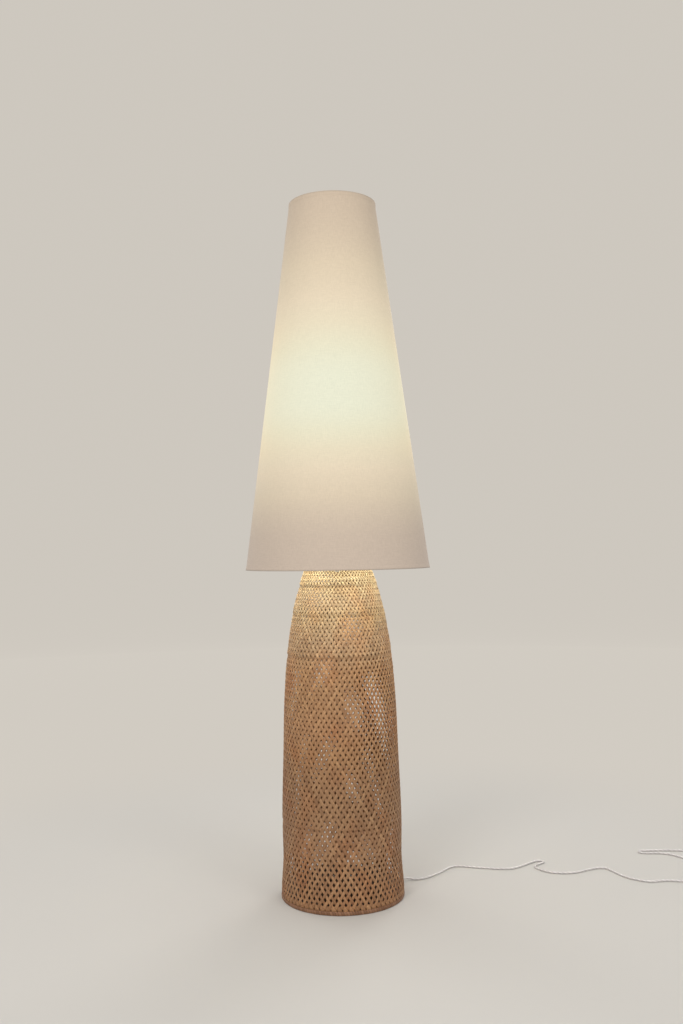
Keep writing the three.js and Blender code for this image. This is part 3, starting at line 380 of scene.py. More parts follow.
def split_cane():
    """Split rattan cane, from a strand's own lengthwise map: fibre streaks along it, a tint for each
    strand, slow blotches, and small red-brown specks and scuffs. Light and shade are painted into it
    too: the shade's light on the cane, brighter and paler towards the top, and painted shade on the
    strands' edges and undersides and right under the creases."""
    f = Finish("rattan", Specular_IOR_Level=0.42)
    strand = f.attribute("strand")
    shift = f.node("CombineXYZ", Z=f.times(strand, 57.0))
    fibre = f.noise(f.shifted(f.laid_place((22, 900, 1)), shift), 1.0, 3.0, 0.6)
    slow = f.noise(f.shifted(f.laid_place((9, 60, 1)), shift), 1.0)
    tone = f.plus(f.times(fibre, 0.45), f.times(slow, 0.35))
    tone = f.plus(tone, f.times(strand, 0.2))
    colour = f.ramp(tone, [(0.25, (0.200, 0.105, 0.052)), (0.45, (0.300, 0.170, 0.092)),
                           (0.60, (0.365, 0.215, 0.118)), (0.78, (0.455, 0.285, 0.165))])
    height = f.times(f.place_parts()[2], 1 / (BASE_HEIGHT * MM))
    # Painted light from the shade: the cane is darker and warmer near the foot and low middle, and paler and
    # much brighter towards the top
    painted_light_by_height = f.ramp(height, [
        (0.04, (1.02, 0.90, 0.76)), (0.13, (1.05, 0.985, 0.88)), (0.21, (1.00, 0.93, 0.84)),
        (0.29, (0.97, 0.92, 0.82)), (0.374, (0.97, 0.90, 0.78)), (0.454, (1.10, 1.00, 0.82)),
        (0.537, (1.24, 1.14, 0.99)), (0.62, (1.24, 1.18, 1.02)), (0.70, (1.31, 1.26, 1.08)),
        (0.74, (1.40, 1.53, 1.50)), (0.785, (1.40, 1.60, 1.65)), (0.866, (1.48, 1.88, 1.97)),
        (0.905, (1.50, 1.98, 2.36)), (0.97, (1.46, 2.13, 2.68))])
    colour = f.blend("MULTIPLY", 1.0, colour, painted_light_by_height)
    blotch = f.ramp(f.noise(f.object_place((1, 1, 0.7)), 17, 2.0), [(0.50, 0.0), (0.72, 0.55)])
    colour = f.blend("MULTIPLY", blotch, colour, (1.0, 0.74, 0.56))
    speck = f.ramp(f.noise(f.object_place(), 190, 1.0), [(0.66, 0.0), (0.74, 0.7)])
    colour = f.blend("MIX", speck, colour, (0.185, 0.072, 0.040))
    round_the_strand = f.laid_place((1, 1 / (STRAND_CORNERS * CORNER_STEP), 1))
    crosswise = f.node("SeparateXYZ", Vector=round_the_strand).node.outputs[1]
    # Painted shade: each strand keeps its rind's tone on top and is darker at its edges and on its
    # underside, the underside also being the cane's browner inner face. How much of this is applied changes
    # with height
    edge, top, underside = (0.70, 0.56, 0.42), (1.00, 1.01, 1.02), (0.66, 0.52, 0.38)
    rind_and_edge_shade = f.ramp(crosswise, [(0.0, edge), (0.10, top), (0.40, top), (0.50, edge), (0.60, underside),
                              (0.90, underside), (1.0, edge)])
    rind_and_edge_shade_share = f.ramp(height, [(0.37, 1.0), (0.43, 0.5), (0.84, 0.5), (0.93, 1.0)])
    colour = f.blend("MULTIPLY", rind_and_edge_shade_share, colour, rind_and_edge_shade)
    # Painted shade under the wall's creases, from the crease attribute
    colour = f.blend("MULTIPLY", f.attribute("crease"), colour, (0.62, 0.48, 0.34))
    f.on("Base Color", colour)
    f.on("Roughness", f.ramp(fibre, [(0.3, 0.42), (0.7, 0.62)]))
    f.bump(f.plus(fibre, f.times(f.noise(f.laid_place((60, 60, 1)), 8.0), 0.4)), 0.00022)
    return f


def brown_cane(name, dark, light):
    """Whole cane bent into a hoop: rings of fibre along it and worn pale patches."""
    f = Finish(name, Specular_IOR_Level=0.4)
    place = f.object_place((1, 1, 14))
    fibre = f.noise(place, 30, 4.0, 0.65)
    patch = f.noise(f.object_place(), 38, 2.0)
    colour = f.ramp(f.plus(f.times(fibre, 0.55), f.times(patch, 0.45)),
                    [(0.33, dark), (0.66, light)])
    f.on("Base Color", colour)
    f.on("Roughness", f.ramp(patch, [(0.3, 0.45), (0.7, 0.7)]))
    f.bump(fibre, 0.0004)
    return f


def wrapped_cane(name, dark, light):
    """A cane strip wound aslant round the rim, from the rim's own map: each turn of the strip has its tint,
    fibres along it and a dark line at its edge."""
    f = Finish(name, Specular_IOR_Level=0.4)
    laid = f.node("SeparateXYZ", Vector=f.laid_place()).node
    turns = f.plus(f.times(laid.outputs[0], 1 / WRAP_PITCH), f.times(laid.outputs[1], 60.0))
    across = f.maths("FRACT", turns)
    number = f.node("TexWhiteNoise", settings={"noise_dimensions": "1D"}, W=f.maths("FLOOR", turns))
    fibre = f.noise(f.node("CombineXYZ", X=f.times(across, 9.0), Y=f.times(laid.outputs[1], 90.0),
                           Z=turns), 1.0, 3.0, 0.6)
    tone = f.plus(f.times(fibre, 0.7), f.times(number, 0.3))
    colour = f.ramp(tone, [(0.30, dark), (0.68, light)])
    seam = f.ramp(f.maths("ABSOLUTE", f.minus(across, 0.5)), [(0.36, 1.0), (0.47, 0.55), (0.5, 0.35)])
    f.on("Base Color", f.blend("MULTIPLY", 1.0, colour, seam))
    f.on("Roughness", f.ramp(fibre, [(0.3, 0.45), (0.7, 0.68)]))
    f.bump(f.plus(f.times(fibre, 0.3), seam), 0.0005)
    return f


def glow_share(f, depth):
    """How much light reaches a point of the cone from the bulb, as a share of the most: incidence over the
    cube of the distance from the lit middle, tilted towards the narrow top, where the light is caught, and
    pressed below one by 1 - exp(-depth * light)."""
    peak_height, peak_radius, low_tilt, high_tilt = 1.045, 0.155, 1.9, 0.4
    x, y, z = f.place_parts()
    height = f.minus(z, peak_height)
    square = f.plus(f.times(x, x), f.times(y, y))
    distance = f.plus(square, f.times(height, height))
    light = f.times(f.maths("POWER", distance, -1.5), peak_radius ** 3)
    tilt = f.plus(f.times(f.maths("MINIMUM", height, 0.0), low_tilt),
                 f.times(f.maths("MAXIMUM", height, 0.0), high_tilt))
    light = f.times(light, f.plus(tilt, 1.0))
    pressed = f.minus(1.0, f.maths("POWER", math.exp(-depth), light))
    return f.maths("DIVIDE", pressed, 1 - math.exp(-depth), clamp=True)


def lit_linen(name):
    """Natural linen lit from inside: fine plain weave with slubs, the bulb's light through it, a thin
    shadow along both of the shade's edges and the overlapped seam up the back."""
    f = Finish(name, Specular_IOR_Level=0.15, Roughness=0.9, Sheen_Weight=0.08, Sheen_Roughness=0.5)
    warp = f.noise(f.object_place((1, 1, 0.02)), 900, 1.0)
    weft = f.noise(f.object_place((0.05, 0.05, 1)), 1500, 1.0)
    thread = f.times(f.plus(warp, weft), 0.5)
    slub = f.noise(f.object_place((1, 1, 0.03)), 160, 2.0)
    x, y, z = f.place_parts()
    edge_reach = 0.01
    high_edge = f.ramp(f.times(f.minus(z, SHADE_HIGH * MM - edge_reach), 1 / edge_reach),
                       [(0.60, 1.0), (0.80, 0.92), (0.95, 0.80)])
    low_edge = f.ramp(f.times(f.minus(SHADE_LOW * MM + edge_reach, z), 1 / edge_reach),
                      [(0.66, 1.0), (0.72, 0.92), (0.88, 0.86), (0.96, 0.55)])
    edge = f.blend("MULTIPLY", 1.0, high_edge, low_edge)
    behind = f.maths("GREATER_THAN", y, 0.0)
    seam = f.ramp(f.times(f.maths("ABSOLUTE", x), 1 / edge_reach),
                  [(0.0, 0.90), (0.46, 0.90), (0.50, 0.72), (0.56, 1.0)])
    shadow = f.blend("MULTIPLY", behind, edge, seam)
    base = f.ramp(thread, [(0.35, (0.520, 0.420, 0.325)), (0.65, (0.585, 0.478, 0.372))])
    f.on("Base Color", f.blend("MULTIPLY", 1.0, base, shadow))
    uneven = f.plus(0.97, f.times(f.plus(slub, thread), 0.03))
    share = glow_share(f, 2.5)
    glow = f.ramp(share, [
        (0.0, (0, 0, 0)), (0.12, (0.020, 0.022, 0.020)), (0.3, (0.143, 0.140, 0.093)),
        (0.5, (0.213, 0.212, 0.150)), (0.7, (0.233, 0.265, 0.190)), (0.88, (0.232, 0.318, 0.240)),
        (1.0, (0.236, 0.359, 0.296))])
    # Painted light: a warm glow added on the sides and back of the shade in its bright band, standing in for
    # the front light that they get less of
    radius = f.maths("POWER", f.plus(f.times(x, x), f.times(y, y)), 0.5)
    sideways = f.plus(1.0, f.maths("DIVIDE", y, radius), clamp=True)
    painted_side_light_share = f.times(sideways, f.ramp(share, [(0.35, 0.0), (0.60, 0.3), (0.80, 0.85), (1.0, 1.0)]))
    glow = f.blend("ADD", painted_side_light_share, glow, (0.16, 0.035, 0.0))
    glow = f.blend("MULTIPLY", painted_side_light_share, glow, (1.0, 1.0, 0.90))
    # Painted light: a cool glow added near the lower edge of the shade and fading out upwards, standing in
    # for cool light from below
    painted_cool_light_share = f.ramp(z, [(0.72, 1.0), (0.84, 0.45), (0.95, 0.0)])
    glow = f.blend("ADD", painted_cool_light_share, glow, (0.0, 0.008, 0.030))
    f.on("Emission Color", f.blend("MULTIPLY", 1.0, glow, shadow))
    f.on("Emission Strength", uneven)
    f.bump(f.plus(thread, f.times(slub, 0.3)), 0.00015)
    return f


def lit_film():
    """White film inside the shade with a painted glow for the bulb's light on it: brightest round the bulb,
    and stronger in the lower part of the shade.
    """
    f = Finish("liner_film", Roughness=0.45, Specular_IOR_Level=0.4)
    cloud = f.noise(f.object_place(), 40, 3.0)
    f.on("Base Color", f.ramp(cloud, [(0.3, (0.60, 0.57, 0.50)), (0.7, (0.66, 0.63, 0.56))]))
    share = glow_share(f, 1.2)
    f.on("Emission Color", f.ramp(share, [(0.0, (0.72, 0.62, 0.44)), (1.0, (0.90, 0.84, 0.68))]))
    # Painted glow, stronger below about 0.86 m and fading to none at 1.1 m, whose light falls on the weave's
    # collar
    below = f.ramp(f.times(f.place_parts()[2], 0.5), [(0.43, 1.0), (0.55, 0.0)], smooth=True)
    steady = f.plus(0.10, f.times(below, 2.1))
    shared = f.times(share, f.plus(0.40, f.times(below, 4.6)))
    f.on("Emission Strength", f.plus(steady, shared))
    f.bump(cloud, 0.0003)
    return f


def lit_bulb():
    """Opal glass with the light behind it."""
    f = Finish("opal_glass", Roughness=0.2)
    cloud = f.noise(f.object_place(), 60, 2.0)
    f.on("Base Color", f.ramp(cloud, [(0.3, (0.86, 0.84, 0.78)), (0.7, (0.90, 0.88, 0.83))]))
    f.on("Emission Color", f.ramp(cloud, [(0.2, (1.0, 0.86, 0.60)), (0.8, (1.0, 0.90, 0.68))]))
    f.shader.inputs["Emission Strength"].default_value = 11.0
    f.bump(cloud, 0.0001)
    return f


def painted(name, dark, light, low_rough, high_rough, metal=0.0, depth=0.0002, coat=0.0):
    """Paint, plastic or metal with a cloudy tone, fine grain and roughness that varies with it."""
    f = Finish(name, Metallic=metal, Coat_Weight=coat, Coat_Roughness=0.15)
    cloud = f.noise(f.object_place(), 35, 3.0)
    fine = f.noise(f.object_place(), 2200, 3.0)
    f.on("Base Color", f.ramp(f.plus(f.times(cloud, 0.7), f.times(fine, 0.3)),
                              [(0.35, dark), (0.65, light)]))
    f.on("Roughness", f.ramp(cloud, [(0.3, low_rough), (0.7, high_rough)]))
    f.bump(fine, depth)
    return f


def clear_jacket():
    """Glossy clear plastic with two twisted bundles of tinned strands close under it."""
    f = Finish("clear_flex", Metallic=0.15, Coat_Weight=0.8, Coat_Roughness=0.12)
    laid = f.node("SeparateXYZ", Vector=f.laid_place()).node
    twist = f.plus(f.times(laid.outputs[0], TURN / CORD_TWIST),
                  f.times(laid.outputs[1], 2 / (CORD_RADIUS * MM)))
    bundle = f.plus(f.times(f.maths("SINE", twist), 0.5), 0.5)
    strands = f.maths("SINE", f.times(twist, 9.0))
    smear = f.noise(f.laid_place((40, 300, 1)), 2.0, 2.0)
    tone = f.plus(f.times(bundle, 0.3), f.times(smear, 0.7))
    f.on("Base Color", f.ramp(tone, [
        (0.2, (0.54, 0.51, 0.51)), (0.5, (0.66, 0.63, 0.63)), (0.8, (0.78, 0.76, 0.76))]))
    f.on("Roughness", f.ramp(smear, [(0.3, 0.30), (0.7, 0.42)]))
    f.bump(f.plus(f.times(strands, 0.3), bundle), 0.00004)
    return f


CANE = split_cane()
RIM_CANE = wrapped_cane("rim_cane", (0.180, 0.082, 0.040), (0.320, 0.165, 0.090))
HOOP_CANE = brown_cane("hoop_cane", (0.200, 0.105, 0.050), (0.340, 0.205, 0.115))
LINEN = lit_linen("linen")
TAPE = lit_linen("edge_tape")
FILM = lit_film()
BULB = lit_bulb()
IRON = painted("ballast_iron", (0.040, 0.028, 0.020), (0.070, 0.050, 0.038), 0.55, 0.8, 0.3, depth=0.0006)
STEEL = painted("steel", (0.42, 0.42, 0.43), (0.56, 0.56, 0.57), 0.24, 0.42, 1.0)
WIRE = painted("ring_wire", (0.45, 0.44, 0.42), (0.60, 0.59, 0.56), 0.25, 0.45, 1.0)
BRONZE = painted("bronze_paint", (0.150, 0.088, 0.048), (0.215, 0.130, 0.074), 0.35, 0.55, 0.1, coat=0.2)
CREAM = painted("cream_paint", (0.74, 0.66, 0.50), (0.82, 0.75, 0.59), 0.35, 0.55, 0.0, coat=0.2)
BLACK = painted("black_paint", (0.024, 0.018, 0.014), (0.044, 0.034, 0.027), 0.38, 0.6, 0.0, coat=0.2)
BRASS = painted("brass", (0.52, 0.36, 0.13), (0.66, 0.47, 0.19), 0.22, 0.42, 1.0)
RUBBER = painted("rubber", (0.012, 0.012, 0.012), (0.030, 0.030, 0.030), 0.75, 0.95)
PLASTIC = painted("black_plastic", (0.010, 0.010, 0.011), (0.022, 0.022, 0.024), 0.3, 0.5)
CERAMIC = painted("ceramic", (0.74, 0.72, 0.68), (0.82, 0.80, 0.76), 0.2, 0.4)
NICKEL = painted("nickel", (0.55, 0.54, 0.51), (0.68, 0.67, 0.64), 0.2, 0.36, 1.0)
CLEAR = painted("clear_plastic", (0.60, 0.59, 0.56), (0.70, 0.69, 0.66), 0.14, 0.3, coat=0.5)
JACKET = clear_jacket()


# Cord, from the gland to the plug

FLOOR_Z = 2.4
EXIT_ANGLE = math.radians(30)
EXIT_HEIGHT = 6
CORD_START = 157.95
SWITCH_LEFT, SWITCH_RIGHT, SWITCH_Y, SWITCH_Z = 770.7, 825.3, 44, 8
COIL_X, COIL_Y, COIL_RADIUS, COIL_PITCH, COIL_TURNS = 838, 160, 24, 4.95, 7.5
TURNS_PER_LAYER, CLIMB_TURNS, COIL_LOW = 2, 0.25, 3.3
PLUG_ENTRY, PLUG_Y, PLUG_Z = 799.7, 88, 6.5


def along_exit(distance):
    """A point on the line by which the cord leaves the foot."""
    reach = CORD_START + distance
    return (reach * math.cos(EXIT_ANGLE), reach * math.sin(EXIT_ANGLE), EXIT_HEIGHT)


def smooth_line(points, per_span):
    """A line through all of the points: between two of them a curve of third degree, whose slopes at the
    points come from the roots of the distances to their neighbours (a centripetal Catmull-Rom curve)."""
    points = np.array(points, float)
    ends = np.vstack([2 * points[0] - points[1], points, 2 * points[-1] - points[-2]])
    p0, p1, p2, p3 = ends[:-3], ends[1:-2], ends[2:-1], ends[3:]
    d0, d1, d2 = (np.linalg.norm(b - a, axis=1)[:, None] ** 0.5 for a, b in ((p0, p1), (p1, p2), (p2, p3)))
    slope1 = ((p1 - p0) / d0 - (p2 - p0) / (d0 + d1) + (p2 - p1) / d1) * d1
    slope2 = ((p2 - p1) / d1 - (p3 - p1) / (d1 + d2) + (p3 - p2) / d2) * d1
    t = (np.arange(per_span) / per_span)[None, :, None]
    a, b, m, n = p1[:, None], p2[:, None], slope1[:, None], slope2[:, None]
    line = a + m * t + (3 * (b - a) - 2 * m - n) * t ** 2 + (2 * (a - b) + m + n) * t ** 3
    return np.vstack([line.reshape(-1, 3), points[-1:]])


def coil_line(per_turn):
    """The coil: turn t is at angle 90 degrees less t turns, spirals in for two turns and out for the next
    two, and rises a cord's pitch around the end of each two turns."""
    t = np.arange(int(COIL_TURNS * per_turn) + 1) / per_turn
    phase = t % (2 * TURNS_PER_LAYER)
    inward = np.minimum(phase, 2 * TURNS_PER_LAYER - phase)
    radius = COIL_RADIUS + COIL_PITCH * (TURNS_PER_LAYER / 2 - inward)
    ends = TURNS_PER_LAYER * np.arange(1, int(COIL_TURNS / TURNS_PER_LAYER) + 1)
    share = np.clip((t[:, None] - ends + CLIMB_TURNS) / (2 * CLIMB_TURNS), 0, 1)
    layers = (share ** 2 * (3 - 2 * share)).sum(axis=1)
    angle = TURN * (0.25 - t)
    return np.column_stack([COIL_X + radius * np.cos(angle), COIL_Y + radius * np.sin(angle),
                            COIL_LOW + layers * COIL_PITCH])


def on_floor(*places):
    """Points of the cord where it lies on the floor."""
    return [(x, y, FLOOR_Z) for x, y in places]


COIL = coil_line(44)
COIL_IN, COIL_OUT = COIL[0], COIL[-1]
RUN = smooth_line([
    along_exit(0), along_exit(4.4), (148.5, 84.6, 4.6), (158, 85, 2.8),
    *on_floor((168, 85.5), (180, 90), (193, 100), (210, 117), (227, 138), (243, 160), (257, 172), (272, 173),
              (290, 168), (313, 161), (336, 155), (362, 149), (387, 150), (406, 161), (421, 174), (437, 189),
              (451, 200), (464, 203), (469, 194), (460, 183), (448, 172), (443, 159), (448, 144), (458, 130),
              (471, 119), (488, 113), (508, 112), (529, 116), (550, 128), (569, 138), (586, 145), (600, 142),
              (609, 128), (617, 107), (627, 84), (639, 68), (652, 57), (664, 49), (678, 45), (694, 48),
              (712, 51), (729, 48), (743, 45)),
    (756, SWITCH_Y, 4.6), (SWITCH_LEFT - 4.4, SWITCH_Y, SWITCH_Z), (SWITCH_LEFT, SWITCH_Y, SWITCH_Z)], 8)
FAR_RUN = smooth_line([
    (SWITCH_RIGHT, SWITCH_Y, SWITCH_Z), (SWITCH_RIGHT + 4.4, SWITCH_Y, SWITCH_Z),
    (840, 45, 5.2), (851, 49, 2.6),
    *on_floor((862, 57), (873, 70), (880, 88), (882, 110), (882, 135), (881, 165), (878, 192), (872, 216),
              (862, 236), (847, 252), (828, 262), (808, 267), (788, 270), (765, 271), (742, 271), (724, 270),
              (713, 266), (711, 258), (717, 252), (728, 250), (744, 250), (762, 247), (776, 240), (788, 228),
              (798, 214), (808, 202), (820, 193)),
    COIL_IN - [9.1, 0, 0], COIL_IN - [4.7, 0, 0]], 8)
PLUG_LEAD = smooth_line([
    COIL_OUT - [4.7, 0, 0], COIL_OUT - [9.1, 0, 0], (816, 133, 13), (803, 131, 7), (792, 125, 3),
    (785, 114, FLOOR_Z), (785, 101, FLOOR_Z), (790, 92, 4.6), (PLUG_ENTRY - 4.4, PLUG_Y, PLUG_Z),
    (PLUG_ENTRY, PLUG_Y, PLUG_Z)], 8)
CORD_LINE = np.vstack([[along_exit(-2.6)], RUN, FAR_RUN, COIL, PLUG_LEAD,
                       [(PLUG_ENTRY + 2.9, PLUG_Y, PLUG_Z)]])


def outline_at(length, width, corner, z):
    """A rectangle with round corners, level at a height, about the switch's middle."""
    outline = soft_rectangle(length, width, corner, 6)
    return np.column_stack([outline + [SWITCH_X, SWITCH_Y], np.full(len(outline), z)])


def switch_outlines(rows):
    """Outlines of the switch's case from rows of (inset, height)."""
    return [outline_at(SWITCH_LONG - 2 * i, SWITCH_WIDE - 2 * i, SWITCH_CORNER - i, z) for i, z in rows]


EXIT = np.array([math.cos(EXIT_ANGLE), math.sin(EXIT_ANGLE), 0])
GLAND_MOUTH, GLAND_FACE, GLAND_ROOT = 157.65, 131.65, 116.3
gland_rows = relief_rows(-GLAND_MOUTH, -GLAND_FACE - 2.3, 2.9, 3.8, 2.35, 3.0, 5) + [
    (-GLAND_FACE - 2.0, 3.8), (-GLAND_FACE - 2.0, 5.1), (-GLAND_FACE - 1.6, 5.5), (-GLAND_FACE - 0.3, 5.5),
    (-GLAND_FACE, 5.2), (-GLAND_FACE, 3.8), (-GLAND_ROOT, 3.8)]
gland = joined("ribbed_gland", [skinned(along_line((0, 0, EXIT_HEIGHT), -EXIT, gland_rows))], "stand", CLEAR,
               ["cord_gland"])

SWITCH_X = (SWITCH_LEFT + SWITCH_RIGHT) / 2
SWITCH_LONG, SWITCH_WIDE, SWITCH_CORNER = 54, 22, 8
foot_rows = switch_outlines([(3.0, 0), (1.6, 0.35), (0.7, 1.1), (0.2, 2.0), (0, 3.2), (0, 7.4), (0.4, 7.85)])
cover_rows = switch_outlines([
    (0.4, 8.15), (0, 8.6), (0, 12.4), (0.3, 13.8), (1.0, 14.9), (2.2, 15.6), (3.8, 15.95), (4.6, 16)])
cover_rows += [outline_at(15.4, 11.6, 2.4, 16), outline_at(14.0, 10.3, 1.8, 15.8),
               outline_at(13.2, 9.6, 1.4, 15.3), outline_at(13.2, 9.6, 1.4, 9.2)]
switch_foot = joined("switch_foot", [skinned(foot_rows)], "stand", CLEAR, ["switch_lower"])
switch_cover = joined("switch_cover", [skinned(cover_rows)], "stand", CLEAR, ["switch_upper"])

ROCKER_TILT = math.radians(8)
ROCKER_RADIUS = 6
under = np.linspace(math.pi, TURN, 15)
wing = 1 + ROCKER_RADIUS * math.tan(ROCKER_TILT)
side_view = np.vstack([ROCKER_RADIUS * np.column_stack([np.cos(under), np.sin(under)]),
                       [(ROCKER_RADIUS, wing), (0, 1), (-ROCKER_RADIUS, wing)]])
side_view = rounded(side_view, 0.6, 3)
tilted = side_view @ np.array([[math.cos(ROCKER_TILT), math.sin(ROCKER_TILT)],
                               [-math.sin(ROCKER_TILT), math.cos(ROCKER_TILT)]])
rocker_rows = [np.column_stack([SWITCH_X + share * tilted[:, 0], np.full(len(tilted), SWITCH_Y + y),
                                15 + share * tilted[:, 1]])
               for y, share in ((-4.5, 0.93), (-4.35, 0.98), (-4.0, 1), (4.0, 1), (4.35, 0.98), (4.5, 0.93))]
rocker = joined("rocker_key", [skinned(rocker_rows, flip=True)], "rocker", PLASTIC, ["switch_rocker"])

PLUG_BACK, PLUG_FRONT = 814, 849
PLUG_LONG = PLUG_FRONT - PLUG_BACK
GRIP_DEPTH, GRIP_PITCH, GRIP_MIDDLE, GRIP_REACH = 0.45, 3.4, 20, 7
RELIEF_MOUTH, PIN_APART, PIN_LONG, PIN_RADIUS = -14, 19, 19, 2
forward = np.linspace(0, PLUG_LONG, 71)
sides = rounded([(0, 7.1), (12.25, 14.2), (21.7, 17), (29.75, 17), (PLUG_LONG, 13.6)], 5, 6, closed=False)
half_width = np.interp(forward, sides[:, 0], sides[:, 1])
grip = GRIP_DEPTH * np.clip(np.cos(TURN * (forward - GRIP_MIDDLE) / GRIP_PITCH), 0, 1) ** 2
grip = grip * (np.abs(forward - GRIP_MIDDLE) < GRIP_REACH)
end_round = np.interp(forward, [0, 0.5, 1.5, PLUG_LONG - 1.5, PLUG_LONG - 0.5, PLUG_LONG],
                      [1.6, 0.7, 0, 0, 0.6, 1.4])
height = np.interp(forward, [0, 7], [10.4, 13]) - 2 * grip
plug_rows = []
for reach, half, tall, cut_in in zip(forward, half_width - grip, height, end_round):
    outline = soft_rectangle(2 * (half - cut_in), tall - 2 * cut_in, 3.2, 5)
    plug_rows.append(np.column_stack([
        np.full(len(outline), PLUG_BACK + reach), outline + [PLUG_Y, PLUG_Z]]))
relief = along_line((PLUG_BACK, PLUG_Y, PLUG_Z), (1, 0, 0),
                    relief_rows(RELIEF_MOUTH, 3, 2.9, 4.6, 2.35, 3.4, 5))
plug = joined("plug_shell", [skinned(plug_rows), skinned(relief)], "stand", CLEAR, ["plug_body"])
for n, across in enumerate((-PIN_APART / 2, PIN_APART / 2)):
    pin_rows = [(0.05, PIN_RADIUS - 0.15), (0.2, PIN_RADIUS), (PIN_LONG - 1.8, PIN_RADIUS),
                (PIN_LONG - 0.9, 1.8), (PIN_LONG - 0.3, 1.35), (PIN_LONG, 0.6)]
    pin_shell = skinned(along_line((PLUG_FRONT + 0.2, PLUG_Y + across, PLUG_Z), (1, 0, 0), pin_rows))
    joined(f"round_pin_{n + 1}", [pin_shell], "stand", NICKEL, [f"plug_pin_{n + 1}"])

TIE_ANGLE, TIE_HEIGHT = math.radians(-45), 10.83
tie_rows = []
for grow, across in ((0, -2.7), (0, 2.7), (-0.25, 3), (-0.8, 3), (-0.8, -3), (-0.25, -3)):
    outline = soft_rectangle(13.18 + 2 * grow, 21.65 + 2 * grow, 3.4 + grow, 5)
    reach = COIL_RADIUS + outline[:, 0]
    tie_rows.append(np.column_stack([
        COIL_X + reach * math.cos(TIE_ANGLE) - across * math.sin(TIE_ANGLE),
        COIL_Y + reach * math.sin(TIE_ANGLE) + across * math.cos(TIE_ANGLE), TIE_HEIGHT + outline[:, 1]]))
tie = joined("twist_tie", [skinned(tie_rows, flip=True, closed=True)], "stand", PLASTIC, ["coil_tie"])

bend = np.linspace(0, 1, 14)[:, None]
lead_reach = np.vstack([[[115.7, 6]], (1 - bend) ** 2 * [12, 6] + bend ** 2 * [0, 18], [[0, 978.5]]])
lead_path = np.column_stack([lead_reach[:, :1] * EXIT[None, :2], lead_reach[:, 1]])
tube_along("inner_cord", lead_path, CORD_RADIUS, "stand", JACKET, ["inner_lead", "tube_lead"],
           side=(-EXIT[1], EXIT[0], 0))
cord_jacket = tube_along("cord_jacket", CORD_LINE, CORD_RADIUS, "stand", JACKET,
                         ["cord_run", "cord_far_run", "cord_coil", "cord_plug_lead"], sides=14)


# Woven body

BODY_TAPER, SHOULDER_DROP, SHOULDER_POWER = 8, 47.5, 5.7
STRANDS = 68
STRAND_THICK = 1.1
WAVE = 0.54
SAMPLES_PER_WAVE = 8
WALL_ROWS, RIM_ROWS = 1400, 40
# The wall's creases: height, depth, height of the ledge, and the middle of its part of the way round
CREASES = ((170, 1.8, 2.5, -120), (519, 2.4, 2.5, -118), (606, 1.6, 2.5, -110), (667, 2.0, 2.5, -125))


def wall_radius(z):
    """The weave's radius: a slight taper, and a shoulder that closes in as a power of the height."""
    share = z / BASE_HEIGHT
    return FOOT_RADIUS - BODY_TAPER * share - SHOULDER_DROP * share ** SHOULDER_POWER


def smooth_step(x, low, high):
    """From 0 at low to 1 at high: 3 t squared less 2 t cubed."""
    share = np.clip((x - low) / (high - low), 0, 1)
    return share * share * (3 - 2 * share)


def wave_noise(a, b, seed):
    """Smooth noise in two parameters, mostly within 1: a sum of sine waves of fixed random slopes and
    phases."""
    terms = 7
    draw = np.random.default_rng(seed)
    total = 0
    for _ in range(terms):
        ka, kb, phase = draw.normal(0, 1), draw.normal(0, 1), draw.uniform(0, TURN)
        total = total + np.sin(np.round(ka * 3) * a + kb * b + phase)
    return total / math.sqrt(terms)


def meridian():
    """The middle of the woven wall as a line of (radius, height), by its length: up from the floor, over a
    rounded rim and down inside the collar. The collar, where the ends are woven back, stands a little
    proud."""
    z = np.linspace(3.0, BASE_HEIGHT - 3.8, WALL_ROWS)
    proud = 0.7 * smooth_step(z, 665, 668.5)
    flare = 4.3 * smooth_step(z, 6, 9.5) * (1 - smooth_step(z, 15, 95))
    belly = sum(depth * np.exp(-((z - height) / half) ** 2)
                for height, half, depth in ((200, 90, 2.5), (390, 70, 0.6), (150, 48, 0.9)))
    wall = np.column_stack([wall_radius(z) - 1.2 + proud + flare + belly, z])
    fold = 2.3
    centre = wall[-1] - [fold, 0]
    turn = np.linspace(0, math.pi, RIM_ROWS)[1:]
    rim = np.column_stack([centre[0] + fold * np.cos(turn), centre[1] + fold * np.sin(turn)])
    down = np.linspace(0, 5, 14)[1:, None]
    inside = rim[-1] + down * [0.05, -1]
    line = np.vstack([wall, rim, inside])
    length = np.concatenate([[0], np.cumsum(np.linalg.norm(np.diff(line, axis=0), axis=1))])
    return line, length


def strand_slope(z, inside):
    """Angle of the strands above the horizontal: 59 degrees, and shallower where they turn over the rim."""
    return np.radians(59 - 19 * np.maximum(smooth_step(z, 690, 696), inside))


def open_share(z, angle):
    """Width of a strand as a share of the room it has: close at the foot, open for seven rows, then closer
    with height, with slow patches all round."""
    share = 0.90 - 0.34 * smooth_step(z, 10, 22) + 0.12 * smooth_step(z, 92, 118)
    share = share - 0.17 * smooth_step(z, 668, 673)
    for height, middle, opening in ((400, -38, 0.18), (367, 38, 0.27)):
        round_share = smooth_step(np.cos(angle - math.radians(middle)), 0.70, 0.95)
        share = share - opening * np.exp(-((z - height) / 105) ** 4) * round_share
    patch = wave_noise(angle, z / 62, 11) + 0.6 * wave_noise(2 * angle, z / 23, 12)
    calm = 0.35 + 0.65 * smooth_step(z, 96, 130)
    return np.clip(share + 0.02 * calm * patch, 0.48, 0.92)


